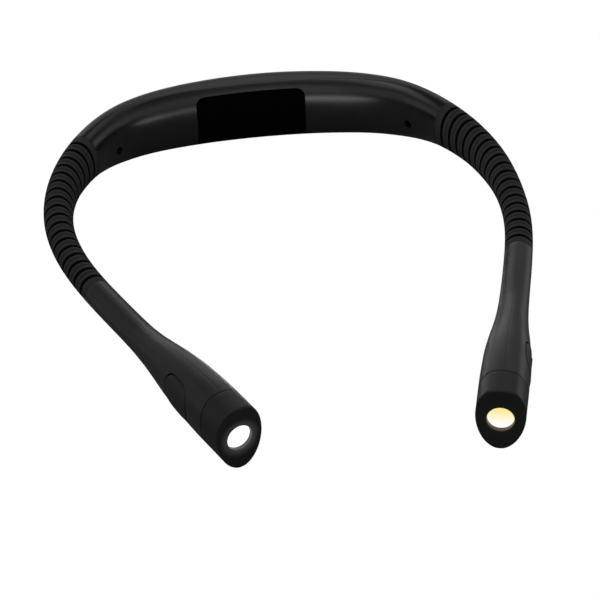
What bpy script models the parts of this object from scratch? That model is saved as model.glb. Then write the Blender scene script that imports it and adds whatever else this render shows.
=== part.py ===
"""Rechargeable neck reading light: a curved back housing, two bendable ribbed arms and a lamp head on each.

Lengths are in metres, angles in degrees, +Z is up. The light lies on its lower edge at z = 0, the housing's
middle is over the origin and the neck opening faces -Y. Every piece is drawn along its arm's centre line:
a station is a distance along that line from the housing's middle, and a section point is an offset away
from the neck with a height above the line.
"""

import math

import bmesh
import bpy
from mathutils import Matrix, Vector

# General clearances
FIT_GAP = 0.0003
CUT_OVERRUN = 0.001
MELT_DISTANCE = 0.000002
WELD_DISTANCE = 0.0000003
SHADING_ANGLE = 35.0
JOIN_DEPTH = 0.0009

# Centre line in plan: lengths, and how far each stretch turns towards the wearer's chest
HOUSING_HALF_LENGTH = 0.0846
HOUSING_MIDDLE_SHARE = 0.5
HOUSING_TURNS = (19.0, 43.4)
HOUSING_END_BEND = 640.0
SLEEVE_LENGTH = 0.1019
HEAD_LENGTH = 0.0987
SLEEVE_TURNS = {"left": (20.4, 19.2, 10.7), "right": (18.5, 14.1, 10.6)}
HEAD_TURNS = {"left": 0.8, "right": 1.8}
SIDES = {"left": -1, "right": 1}
LINE_SAMPLES = 480

# Cross-sections: share of the stretch, thickness across the arm, height
HOUSING_PROFILE = ((0.0, 0.0125, 0.0280), (0.33, 0.0125, 0.0272), (0.66, 0.0123, 0.0247),
                   (1.0, 0.0127, 0.0189))
SLEEVE_PROFILE = ((0.33, 0.0114, 0.0162), (0.66, 0.0102, 0.0112), (0.9, 0.0100, 0.0100))
HEAD_PROFILE = ((0.0, 0.0100, 0.0100), (0.22, 0.0100, 0.0100), (0.33, 0.0102, 0.0105),
                (0.42, 0.0108, 0.0125), (0.5, 0.0119, 0.0155), (0.6, 0.0140, 0.0186),
                (0.7, 0.0154, 0.0209), (0.85, 0.0158, 0.0226), (1.0, 0.0156, 0.0227))
HOUSING_EXPONENT = 2.6
ROUND_EXPONENT = 2.0
ROUNDING_START = 0.010
ROUNDING_LENGTH = 0.030
EGG_LIFT_SHARE = 0.05
EGG_UPPER_EXPONENT = 2.2
EGG_LOWER_EXPONENT = 1.9
EGG_START_SHARE = 0.35
EGG_FULL_SHARE = 0.95
CROWN_DROP = 0.0004
CROWN_WIDTH_SHARE = 0.57

# Back housing
HOUSING_WALL = 0.0018
HOUSING_STATIONS = 26
HOUSING_ARC_STEPS = 11
LOWER_SEAM_OFFSET = -0.0011
UPPER_SEAM_OFFSET = -0.0037
UPPER_SEAM_END_OFFSET = -0.0009
REST_FLAT_DEPTH = 0.0004

# Cover screws and their bosses
SCREW_END_DISTANCE = 0.0168
SCREW_RISE = -0.0031
SCREW_HEAD_DIAMETER = 0.0028
SCREW_HEAD_HEIGHT = 0.0014
SCREW_SHANK_DIAMETER = 0.0017
SCREW_SHANK_LENGTH = 0.0062
SCREW_HOLE_DIAMETER = 0.0034
SCREW_SINK = 0.0024
SCREW_SEAT_THICKNESS = 0.0012
BOSS_DIAMETER = 0.0058
SCREW_SIDES = 12

# Neck pad
PAD_MIDDLE = -0.0037
PAD_HALF_LENGTH = 0.0234
PAD_TOP_RISE = 0.0089
PAD_BOTTOM_MARGIN = 0.0011
PAD_THICKNESS = 0.0007
PAD_CORNER_RADIUS = 0.0035
PAD_CORNER_SHARES = (1.0, 0.86, 0.6, 0.3)
PAD_STATIONS = 8
PAD_ARC_STEPS = 6

# Battery, main board, charging socket and charge light
BATTERY_LENGTH = 0.040
BATTERY_THICKNESS = 0.0050
BATTERY_HEIGHT = 0.0165
BATTERY_CORNER = 0.0018
BATTERY_SHIFT = -0.0006
BOARD_THICKNESS = 0.0010
MAIN_BOARD_STATION = 0.0365
MAIN_BOARD_LENGTH = 0.0230
MAIN_BOARD_HEIGHT = 0.0150
SOCKET_WIDTH = 0.00894
SOCKET_THICKNESS = 0.00326
SOCKET_DEPTH = 0.0073
SOCKET_WALL = 0.0003
SOCKET_OFFSET = 0.0020
SOCKET_RECESS = 0.0007
SOCKET_TONGUE_WIDTH = 0.0067
SOCKET_TONGUE_THICKNESS = 0.0007
SOCKET_TONGUE_LENGTH = 0.0046
LIGHT_PIPE_DIAMETER = 0.0018
LIGHT_PIPE_LENGTH = 0.0036
LIGHT_PIPE_SPACING = 0.0085

# Ribbed sleeves
SLEEVE_COLLAR = 0.0044
SLEEVE_CUFF = 0.0040
SLEEVE_GROOVES = 18
SLEEVE_GROOVE_WIDTH = 0.0014
SLEEVE_GROOVE_DEPTH = 0.0010
SLEEVE_PLUG_LENGTH = 0.0050
SLEEVE_SIDES = 16
SLEEVE_SHADING_ANGLE = 60.0
SLEEVE_BORE_STATIONS = 22
BORE_SIDES = 8

# Bendable cores, clamps and lamp wires
CORE_DIAMETER = 0.0044
CORE_BORE = 0.0025
CORE_STATIONS = 19
CORE_END_SPARE = 0.0006
CLAMP_LENGTH = 0.0060
HOUSING_CLAMP_DIAMETER = 0.0084
WIRE_DIAMETER = 0.0015
WIRE_SIDES = 6
WIRE_SPACING = 0.0058
WIRE_BATTERY_RISE = 0.0093
WIRE_BOARD_RISE = 0.0048
WIRE_BOSS_RISE = 0.0011
WIRE_BOSS_REACH = 0.0015
WIRE_SWITCH_RISE = 0.0064
WIRE_SWITCH_OFFSET = -0.0014
WIRE_LAP = 0.0020
WIRE_NECK_SHARE = 0.47

# Lamp heads
HEAD_STATIONS = 13
HEAD_ARC_STEPS = 9
HEAD_WALL = 0.0013
HEAD_FLAT_DEPTH = 0.0003

# Lamp caps
CAP_LENGTH = 0.0104
CAP_EDGE_RADIUS = 0.0006
CAP_FRONT_WALL = 0.0015
CAP_SIDES = 28
CAP_EDGE_STEPS = 3
LENS_OPENING_DIAMETER = 0.0084

# Lens, reflector, LED and its board
LENS_DIAMETER = 0.0112
LENS_THICKNESS = 0.0011
LENS_RECESS = 0.0011
LENS_DOME = 0.0005
LENS_DOME_ANGLES = (0.0, 35.0, 65.0)
REFLECTOR_DIAMETER = 0.0122
REFLECTOR_LENGTH = 0.0047
REFLECTOR_MOUTH = 0.0102
REFLECTOR_THROAT = 0.0044
REFLECTOR_BEND_SHARE = 0.33
LED_WIDTH = 0.0026
LED_HEIGHT = 0.0008
LED_LIFT = 0.0001
TURNED_SIDES = 20

# Buttons and switches
BUTTON_LENGTH = 0.0144
BUTTON_HEIGHT = 0.0126
BUTTON_RISE = 0.0010
BUTTON_FRONT_DISTANCE = 0.0206
BUTTON_EXPONENT = 3.0
BUTTON_PROUD = 0.0004
BUTTON_EDGE_DROP = 0.0003
BUTTON_TRAVEL = 0.0005
BUTTON_SIDES = 24
BUTTON_RING_SHARES = (1.0, 0.93, 0.6, 0.25)
BUTTON_SHADING_ANGLE = 50.0
BUTTON_STEM_REACH = 0.0029
BUTTON_FLANGE_THICKNESS = 0.0010
BUTTON_FLANGE_LIP = 0.0008
BUTTON_MARK_LENGTH = 0.0052
BUTTON_MARK_WIDTH = 0.0007
BUTTON_MARK_RISE = 0.0014
BUTTON_MARK_HEIGHT = 0.0002
PLUNGER_DIAMETER = 0.0022
PLUNGER_STAND = 0.0009
PLUNGER_SINK = 0.0006
SWITCH_WIDTH = 0.0060
SWITCH_DEPTH = 0.0022
SWITCH_BOARD_LENGTH = 0.0150
SWITCH_BOARD_HEIGHT = 0.0080
SWITCH_RIB_THICKNESS = 0.0012
SWITCH_RIB_HEIGHT = 0.0030
SWITCH_RIB_DROP = 0.0022
SWITCH_RIB_SPACING = 0.0100

# Joint places along each sleeve
SWING_SHARE = 0.30
LIFT_SHARE = 0.74

# Places that follow from the sizes above
SCREW_STATION = HOUSING_HALF_LENGTH - SCREW_END_DISTANCE
HEAD_START = HOUSING_HALF_LENGTH + SLEEVE_LENGTH
FACE_STATION = HEAD_START + HEAD_LENGTH
CAP_START = FACE_STATION - CAP_LENGTH
SLEEVE_DIAMETER = HEAD_PROFILE[0][1]
HOUSING_THICKNESS = HOUSING_PROFILE[0][1]
AXIS_HEIGHT = HOUSING_PROFILE[0][2] / 2 - REST_FLAT_DEPTH
HEAD_AXIS_HEIGHT = HEAD_PROFILE[-1][2] / 2 - HEAD_FLAT_DEPTH
BUTTON_STATION = FACE_STATION - BUTTON_FRONT_DISTANCE - BUTTON_LENGTH / 2


def material(name, colour, roughness, metallic=0.0):
    """Return a Principled material with the given colour and finish."""
    made = bpy.data.materials.new(name)
    made.use_nodes = True
    shader = made.node_tree.nodes["Principled BSDF"]
    shader.inputs["Base Color"].default_value = (*colour, 1.0)
    shader.inputs["Roughness"].default_value = roughness
    shader.inputs["Metallic"].default_value = metallic
    return made


def between(low, high, steps):
    """Return evenly spaced values from low to high, both included."""
    return [low + (high - low) * index / steps for index in range(steps + 1)]


class Profile:
    """Smooth curve through rows of (station, value, value...), without overshoot between the rows."""

    def __init__(self, rows):
        self.stations = [row[0] for row in rows]
        self.columns = list(zip(*(row[1:] for row in rows)))

    def slope(self, values, index):
        """Slope at a row: the harmonic mean of its two sides, level at a crest and at both ends."""
        if index in (0, len(values) - 1):
            return 0.0
        sides = [(values[i + 1] - values[i]) / (self.stations[i + 1] - self.stations[i])
                 for i in (index - 1, index)]
        if sides[0] * sides[1] <= 0:
            return 0.0
        return 2 / (1 / sides[0] + 1 / sides[1])

    def values(self, station):
        """All values at a station."""
        last = len(self.stations) - 2
        index = next((i for i in range(last) if station < self.stations[i + 1]), last)
        span = self.stations[index + 1] - self.stations[index]
        part = min(max((station - self.stations[index]) / span, 0.0), 1.0)
        found = []
        for values in self.columns:
            low, high = values[index], values[index + 1]
            low_slope, high_slope = (self.slope(values, i) * span for i in (index, index + 1))
            found.append(low * (1 + 2 * part) * (1 - part) ** 2 + low_slope * part * (1 - part) ** 2
                         + high * (3 - 2 * part) * part ** 2 + high_slope * (part - 1) * part ** 2)
        return found


class Section:
    """Rounded outline of one cross-section, blunter or sharper in its upper and lower halves.

    An angle is measured from the side away from the neck, upwards; lift is how far the widest level
    lies above the middle, and floor the lowest level that the outline may reach. Crown is how far the
    top is pressed flat between two soft lines beside its middle.
    """

    def __init__(self, width, height, upper, lower, lift, floor, crown=0.0):
        self.width = width
        self.height = height
        self.upper = upper
        self.lower = lower
        self.lift = lift
        self.floor = floor
        self.crown = crown

    def inset(self, depth):
        """The same outline at a depth below this one."""
        return Section(self.width - 2 * depth, self.height - 2 * depth, self.upper, self.lower, self.lift,
                       self.floor, self.crown)

    def half(self, above):
        """Exponent and reach of the upper or the lower half."""
        if above:
            return self.upper, self.height / 2 - self.lift
        return self.lower, self.height / 2 + self.lift

    def point(self, angle):
        """Offset away from the neck and rise at an angle."""
        cosine, sine = math.cos(angle), math.sin(angle)
        exponent, reach = self.half(sine > 0)
        offset = math.copysign(abs(cosine) ** (2 / exponent), cosine) * self.width / 2
        rise = math.copysign(abs(sine) ** (2 / exponent), sine) * reach + self.lift
        if sine > 0:
            share = min(2 * abs(offset) / (self.width * CROWN_WIDTH_SHARE), 1.0)
            rise -= self.crown * (1 - share ** 2)
        return offset, max(rise, self.floor)

    def angle_at_offset(self, offset, above):
        """Angle at which the upper or the lower half passes an offset."""
        exponent, _ = self.half(above)
        share = max(-1.0, min(1.0, 2 * offset / self.width))
        angle = math.acos(math.copysign(abs(share) ** (exponent / 2), share))
        return angle if above else -angle

    def angle_at_rise(self, rise):
        """Angle, between straight down and straight up, at which the outline reaches a level."""
        exponent, reach = self.half(rise > self.lift)
        share = max(-1.0, min(1.0, (rise - self.lift) / reach))
        return math.asin(math.copysign(abs(share) ** (exponent / 2), share))

    def offset_at_rise(self, rise):
        """Offset of the outline away from the neck at a level."""
        return self.point(self.angle_at_rise(rise))[0]

    def arc(self, cuts, outer, steps):
        """Points of the half away from the neck, or beside it, between the two seams' offsets."""
        low, high = (self.angle_at_offset(cut, above) for cut, above in zip(cuts, (False, True)))
        angles = between(low, high, steps) if outer else between(2 * math.pi + low, high, steps)
        return [self.point(angle) for angle in angles]

    def ring(self, sides, turn=0.0):
        """Points all round the outline, the first one turned by a share of a side."""
        return [self.point(2 * math.pi * (index + turn) / sides) for index in range(sides)]


def round_section(diameter):
    """Circular section."""
    return Section(diameter, diameter, ROUND_EXPONENT, ROUND_EXPONENT, 0.0, -diameter)


def arm_profile():
    """One smooth profile over the housing's half, the sleeve and the head."""
    rows = []
    for table, start, length in ((HOUSING_PROFILE, 0.0, HOUSING_HALF_LENGTH),
                                 (SLEEVE_PROFILE, HOUSING_HALF_LENGTH, SLEEVE_LENGTH),
                                 (HEAD_PROFILE, HEAD_START, HEAD_LENGTH)):
        rows += [(start + share * length, *sizes) for share, *sizes in table]
    return Profile(rows)


PROFILE = arm_profile()


def section(station):
    """Cross-section of the light's surface at a station."""
    place = abs(station)
    width, height = PROFILE.values(place)
    rounding = min(max((place - HOUSING_HALF_LENGTH + ROUNDING_START) / ROUNDING_LENGTH, 0.0), 1.0)
    plain = HOUSING_EXPONENT + (ROUND_EXPONENT - HOUSING_EXPONENT) * rounding
    share = (place - HEAD_START) / HEAD_LENGTH
    egg = min(max((share - EGG_START_SHARE) / (EGG_FULL_SHARE - EGG_START_SHARE), 0.0), 1.0)
    upper = plain + (EGG_UPPER_EXPONENT - ROUND_EXPONENT) * egg
    lower = plain + (EGG_LOWER_EXPONENT - ROUND_EXPONENT) * egg
    lift = EGG_LIFT_SHARE * height * egg
    return Section(width, height, upper, lower, lift, -axis_height(place), CROWN_DROP * egg)


def axis_height(station):
    """Height of the centre line: it sinks a little along the sleeve, so the heads lie on the table too."""
    share = min(max((abs(station) - HOUSING_HALF_LENGTH) / SLEEVE_LENGTH, 0.0), 1.0)
    return AXIS_HEIGHT + (HEAD_AXIS_HEIGHT - AXIS_HEIGHT) * share


class CentreLine:
    """One arm's centre line from the housing's middle to the lamp face, seen in plan and in height."""

    def __init__(self, name):
        self.side = SIDES[name]
        middle = HOUSING_HALF_LENGTH * HOUSING_MIDDLE_SHARE
        third = SLEEVE_LENGTH / len(SLEEVE_TURNS[name])
        lengths = [middle, HOUSING_HALF_LENGTH - middle] + [third] * len(SLEEVE_TURNS[name]) + [HEAD_LENGTH]
        turns = [*HOUSING_TURNS, *SLEEVE_TURNS[name], HEAD_TURNS[name]]
        self.stations = [0.0]
        self.headings = [0.0]
        for length, turn in zip(lengths, turns):
            self.stations.append(self.stations[-1] + length)
            self.headings.append(self.headings[-1] + turn)
        self._walk()

    def heading(self, station):
        """Heading in degrees at a station: a smooth curve through the turns, so the line never kinks."""
        last = len(self.stations) - 1
        index = next((i for i in range(1, last) if station < self.stations[i]), last) - 1
        span = self.stations[index + 1] - self.stations[index]
        part = (station - self.stations[index]) / span
        low, high = self.headings[index], self.headings[index + 1]
        low_slope, high_slope = (self._slope(i) * span for i in (index, index + 1))
        return (low * (1 + 2 * part) * (1 - part) ** 2 + low_slope * part * (1 - part) ** 2
                + high * (3 - 2 * part) * part ** 2 + high_slope * (part - 1) * part ** 2)

    def _slope(self, index):
        """Rate of turn at one of the stations; both arms leave the housing alike."""
        if index == len(HOUSING_TURNS):
            return HOUSING_END_BEND
        before = max(index - 1, 0)
        after = min(index + 1, len(self.stations) - 1)
        turn = self.headings[after] - self.headings[before]
        return turn / (self.stations[after] - self.stations[before])

    def _walk(self):
        """Step along the headings and keep the plan position at every sample."""
        self.step = self.stations[-1] / LINE_SAMPLES
        self.places = [Vector((0.0, 0.0))]
        for index in range(LINE_SAMPLES):
            heading = math.radians(self.heading((index + 0.5) * self.step))
            move = Vector((math.cos(heading), -math.sin(heading))) * self.step
            self.places.append(self.places[-1] + move)

    def frame(self, station):
        """Point, direction away from the housing and direction away from the neck at a station.

        A station below zero lies in the other half of the housing.
        """
        mirror = -1 if station < 0 else 1
        place = min(abs(station) / self.step, LINE_SAMPLES - 1.0)
        low = int(place)
        flat = self.places[low].lerp(self.places[low + 1], place - low)
        if abs(station) > self.stations[-1]:
            flat = self.places[-1]
        heading = math.radians(self.heading(min(abs(station), self.stations[-1])))
        flip = self.side * mirror
        point = Vector((flip * flat.x, flat.y, axis_height(station)))
        along = Vector((math.cos(heading) * self.side, -math.sin(heading) * mirror, 0.0))
        outward = Vector((math.sin(heading) * flip, math.cos(heading), 0.0))
        return point, along, outward

    def point(self, station, offset=0.0, rise=0.0):
        """World position of a section point at a station."""
        centre, _, outward = self.frame(station)
        return centre + outward * offset + Vector((0.0, 0.0, rise))

    def matrix(self, station, offset=0.0, rise=0.0, axis="along"):
        """Placement whose local Z runs along the line, away from the neck, or up."""
        _, along, outward = self.frame(station)
        up = Vector((0.0, 0.0, 1.0))
        z_axis = {"along": along, "outward": outward, "up": up}[axis]
        x_axis = {"along": outward, "outward": up, "up": along}[axis]
        y_axis = z_axis.cross(x_axis)
        turned = Matrix((x_axis, y_axis, z_axis)).transposed().to_4x4()
        return Matrix.Translation(self.point(station, offset, rise)) @ turned


class Builder:
    """Makes the named objects and hangs each one on the empty of the body that it moves with."""

    def __init__(self):
        self.carriers = {}
        self.materials = {}

    def carrier(self, name, point, parent=None):
        """Add the empty of one moving body, at a point on its joint's axis."""
        empty = bpy.data.objects.new(name, None)
        bpy.context.collection.objects.link(empty)
        above = self.carriers.get(parent)
        empty.parent = above
        empty.location = point - (above.matrix_world.translation if above else Vector())
        bpy.context.view_layer.update()
        self.carriers[name] = empty
        return empty

    def object(self, name, mesh_data, carrier, finish, smooth_angle=SHADING_ANGLE):
        """Link a mesh as a named object on a carrier, with its material and shading."""
        bmesh.ops.remove_doubles(mesh_data, verts=mesh_data.verts, dist=WELD_DISTANCE)
        bmesh.ops.recalc_face_normals(mesh_data, faces=mesh_data.faces)
        mesh = bpy.data.meshes.new(name)
        mesh_data.to_mesh(mesh)
        mesh_data.free()
        mesh.transform(Matrix.Translation(-self.carriers[carrier].matrix_world.translation))
        made = bpy.data.objects.new(name, mesh)
        bpy.context.collection.objects.link(made)
        made.parent = self.carriers[carrier]
        mesh.shade_smooth()
        mesh.set_sharp_from_angle(angle=math.radians(smooth_angle))
        mesh.materials.append(self.materials[finish])
        return made

    def combine(self, target, tools, operation):
        """Join tools to a target or cut them from it, and keep the result as the target's mesh."""
        for tool in tools:
            tool.hide_render = True
            tool.display_type = "WIRE"
            for piece in (target, tool):
                tidy_mesh(piece.data)
            step = target.modifiers.new(operation.lower(), "BOOLEAN")
            step.operation = operation
            step.solver = "EXACT"
            step.object = tool
            bpy.context.view_layer.update()
            evaluated = target.evaluated_get(bpy.context.evaluated_depsgraph_get())
            result = bpy.data.meshes.new_from_object(evaluated)
            target.modifiers.clear()
            tidy_mesh(result)
            target.data = result
            bpy.data.objects.remove(tool)


def tidy_mesh(mesh_data):
    """Split a mesh into triangles and melt edges too short to matter."""
    mesh = bmesh.new()
    mesh.from_mesh(mesh_data)
    bmesh.ops.triangulate(mesh, faces=mesh.faces)
    bmesh.ops.dissolve_degenerate(mesh, edges=mesh.edges, dist=MELT_DISTANCE)
    bmesh.ops.triangulate(mesh, faces=mesh.faces)
    mesh.to_mesh(mesh_data)
    mesh.free()


def add_faces(mesh, rows, closed_rows=True, closed_columns=True):
    """Join a grid of vertices with quads; either direction may run round and meet itself."""
    row_count, column_count = len(rows), len(rows[0])
    for row in range(row_count if closed_rows else row_count - 1):
        low, high = rows[row], rows[(row + 1) % row_count]
        for column in range(column_count if closed_columns else column_count - 1):
            after = (column + 1) % column_count
            mesh.faces.new((low[column], low[after], high[after], high[column]))


def ring_loft(rings, capped=True):
    """Skin closed rings of equal length, with flat ends or, uncapped, the last ring joined to the first."""
    mesh = bmesh.new()
    rows = [[mesh.verts.new(point) for point in ring] for ring in rings]
    add_faces(mesh, rows, closed_rows=not capped)
    if capped:
        mesh.faces.new(rows[0])
        mesh.faces.new(rows[-1])
    return mesh


def thick_sheet(outer, inner):
    """Close two matching open grids of points into one plate with edges all round."""
    mesh = bmesh.new()
    outer_rows = [[mesh.verts.new(point) for point in row] for row in outer]
    inner_rows = [[mesh.verts.new(point) for point in row] for row in inner]
    add_faces(mesh, outer_rows, False, False)
    add_faces(mesh, inner_rows, False, False)
    for first, second in ((outer_rows[0], inner_rows[0]), (outer_rows[-1], inner_rows[-1])):
        add_faces(mesh, [first, second], False, False)
    for column in (0, -1):
        edges = [[row[column] for row in rows] for rows in (outer_rows, inner_rows)]
        add_faces(mesh, edges, False, False)
    return mesh


def turned(profile, placement, sides=TURNED_SIDES):
    """Turn a closed profile of (radius, distance along) round the placement's local Z."""
    mesh = bmesh.new()
    rings = []
    for radius, along in profile:
        if radius:
            angles = [2 * math.pi * index / sides for index in range(sides)]
            ring = [(radius * math.cos(angle), radius * math.sin(angle), along) for angle in angles]
            rings.append([mesh.verts.new(point) for point in ring])
        else:
            rings.append([mesh.verts.new((0.0, 0.0, along))] * sides)
    for low, high in zip(rings, rings[1:] + rings[:1]):
        for index in range(sides):
            after = (index + 1) % sides
            corners = (low[index], low[after], high[after], high[index])
            unique = list(dict.fromkeys(corners))
            if len(unique) > 2:
                mesh.faces.new(unique)
    mesh.transform(placement)
    return mesh


def rod(diameter, length, placement, sides=TURNED_SIDES):
    """Solid round bar from the placement's origin along its local Z."""
    radius = diameter / 2
    return turned([(0.0, 0.0), (radius, 0.0), (radius, length), (0.0, length)], placement, sides)


def tube(diameter, bore, length, placement, sides=TURNED_SIDES):
    """Round tube from the placement's origin along its local Z."""
    outer, inner = diameter / 2, bore / 2
    return turned([(inner, 0.0), (outer, 0.0), (outer, length), (inner, length)], placement, sides)


def block(sizes, placement, corner=0.0, rounded_axis=2):
    """Box of three sizes centred on the placement, its edges along one local axis rounded if asked."""
    mesh = bmesh.new()
    bmesh.ops.create_cube(mesh, size=1.0)
    bmesh.ops.scale(mesh, vec=sizes, verts=mesh.verts)
    if corner:
        def runs_along(edge):
            step = edge.verts[0].co - edge.verts[1].co
            across = max(abs(step[axis]) for axis in range(3) if axis != rounded_axis)
            return abs(step[rounded_axis]) > across
        edges = [edge for edge in mesh.edges if runs_along(edge)]
        bmesh.ops.bevel(mesh, geom=edges, offset=corner, segments=3, profile=0.5, affect="EDGES")
    mesh.transform(placement)
    return mesh


def half_shell(line, stations, wall, seams, outer, steps):
    """One half of a hollow casing that follows the centre line, between the offsets that seams gives it."""
    sheets = []
    for depth in (0.0, wall):
        rows = []
        for station in stations:
            places = section(station).inset(depth).arc(seams(station), outer, steps)
            rows.append([line.point(station, *place) for place in places])
        sheets.append(rows)
    return thick_sheet(*sheets)


def housing_seams(shift):
    """Offsets of the lower and upper seam of the covers at a station, moved aside by half the gap."""
    def seams(station):
        share = (station / HOUSING_HALF_LENGTH) ** 2
        upper = UPPER_SEAM_OFFSET + (UPPER_SEAM_END_OFFSET - UPPER_SEAM_OFFSET) * share
        return LOWER_SEAM_OFFSET + shift, upper + shift
    return seams


def head_seams(shift):
    """Offsets of a head's two seams, along its lower and upper middle."""
    return lambda station: (shift, shift)


def make_covers(build, line):
    """Rear cover and inner cover: the two halves of the curved back housing, with their screw bosses."""
    stations = between(-HOUSING_HALF_LENGTH, HOUSING_HALF_LENGTH, HOUSING_STATIONS)
    covers = {}
    for name, outer, gap in (("rear_cover", True, FIT_GAP / 2), ("inner_cover", False, -FIT_GAP / 2)):
        mesh = half_shell(line, stations, HOUSING_WALL, housing_seams(gap), outer, HOUSING_ARC_STEPS)
        covers[name] = build.object(name, mesh, "housing", name)
    for side in SIDES.values():
        add_screw_boss(build, line, covers, side * SCREW_STATION)
    return covers


def screw_depths():
    """Offsets, away from the neck, of the screw's seat and of the plane where the two bosses meet."""
    surface = -HOUSING_THICKNESS / 2
    head_top = surface + SCREW_SINK
    seat = head_top + SCREW_HEAD_HEIGHT + FIT_GAP
    meet = seat + SCREW_SEAT_THICKNESS
    return surface, head_top, seat, meet


def add_screw_boss(build, line, covers, station):
    """Boss, counterbore and screw hole of one cover screw, in both covers."""
    surface, _, seat, meet = screw_depths()
    shank_hole = SCREW_SHANK_DIAMETER + 2 * FIT_GAP
    back = HOUSING_THICKNESS / 2 - HOUSING_WALL
    inner_start = surface + HOUSING_WALL - JOIN_DEPTH

    def bar(name, diameter, low, high):
        placement = line.matrix(station, low, SCREW_RISE, "outward")
        return build.object(name, rod(diameter, high - low, placement), "housing", "hardware")

    build.combine(covers["inner_cover"], [bar("inner_boss", BOSS_DIAMETER, inner_start, meet)], "UNION")
    build.combine(covers["inner_cover"], [
        bar("head_hole", SCREW_HOLE_DIAMETER, surface - CUT_OVERRUN, seat),
        bar("shank_hole", shank_hole, surface, meet + CUT_OVERRUN)], "DIFFERENCE")
    rear_boss = bar("rear_boss", BOSS_DIAMETER, meet + FIT_GAP, back + JOIN_DEPTH)
    build.combine(covers["rear_cover"], [rear_boss], "UNION")
    depth = seat + SCREW_SHANK_LENGTH + FIT_GAP
    pilot = bar("pilot_hole", shank_hole, meet, min(depth, back))
    build.combine(covers["rear_cover"], [pilot], "DIFFERENCE")


def make_screws(build, line):
    """The two screws that hold the covers together."""
    _, head_top, _, _ = screw_depths()
    head, shank = SCREW_HEAD_DIAMETER / 2, SCREW_SHANK_DIAMETER / 2
    end = SCREW_HEAD_HEIGHT + SCREW_SHANK_LENGTH
    socket = head / 2
    profile = [(0.0, socket), (socket, socket), (socket, 0.0), (head, 0.0), (head, SCREW_HEAD_HEIGHT),
               (shank, SCREW_HEAD_HEIGHT), (shank, end - shank), (0.0, end)]
    for name, side in SIDES.items():
        placement = line.matrix(side * SCREW_STATION, head_top, SCREW_RISE, "outward")
        build.object(f"{name}_cover_screw", turned(profile, placement, SCREW_SIDES), "housing", "hardware")


def pad_top_rise(reach, spread):
    """Upper edge of the neck pad at a distance from its middle, with its two round corners."""
    radius = PAD_CORNER_RADIUS + spread
    into = radius - (PAD_HALF_LENGTH + spread - abs(reach))
    drop = radius - math.sqrt(max(radius ** 2 - into ** 2, 0.0)) if into > 0 else 0.0
    return PAD_TOP_RISE + spread - drop


def pad_sheet(line, spread, top_inset, bottom_inset):
    """Patch of the neck side between two depths, spread beyond the pad's outline on every side."""
    end = PAD_HALF_LENGTH + spread
    corner = PAD_CORNER_RADIUS + spread
    corners = [end - corner * (1 - share) for share in PAD_CORNER_SHARES]
    middle = between(corner - end, end - corner, PAD_STATIONS)
    reaches = sorted([-reach for reach in corners] + middle + corners)
    sheets = []
    for inset in (top_inset, bottom_inset):
        rows = []
        for reach in reaches:
            station = PAD_MIDDLE + reach
            outline = section(station).inset(inset)
            low = outline.angle_at_rise(PAD_BOTTOM_MARGIN - spread - AXIS_HEIGHT)
            high = outline.angle_at_rise(pad_top_rise(reach, spread))
            places = [outline.point(math.pi - angle) for angle in between(low, high, PAD_ARC_STEPS)]
            rows.append([line.point(station, *place) for place in places])
        sheets.append(rows)
    return thick_sheet(*sheets)


def make_neck_pad(build, line, covers):
    """Soft pad let into the neck side of the inner cover, and its recess."""
    build.object("neck_pad", pad_sheet(line, 0.0, 0.0, PAD_THICKNESS), "housing", "neck_pad")
    recess = pad_sheet(line, FIT_GAP, -CUT_OVERRUN, PAD_THICKNESS + FIT_GAP)
    tool = build.object("pad_recess", recess, "housing", "neck_pad")
    build.combine(covers["inner_cover"], [tool], "DIFFERENCE")


def make_battery(build, line):
    """Flat rechargeable cell in the middle of the housing."""
    placement = line.matrix(0.0, BATTERY_SHIFT, 0.0, "outward")
    mesh = block((BATTERY_HEIGHT, BATTERY_LENGTH, BATTERY_THICKNESS), placement, BATTERY_CORNER, 1)
    build.object("battery", mesh, "housing", "battery")


def socket_ring(width, thickness, along, sides=4):
    """Outline of the charging socket: a rectangle with half-round ends."""
    radius = thickness / 2
    reach = width / 2 - radius
    ring = []
    for centre, start in ((reach, -90.0), (-reach, 90.0)):
        for angle in between(start, start + 180.0, sides):
            turn = math.radians(angle)
            ring.append((centre + radius * math.cos(turn), radius * math.sin(turn), along))
    return ring


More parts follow.
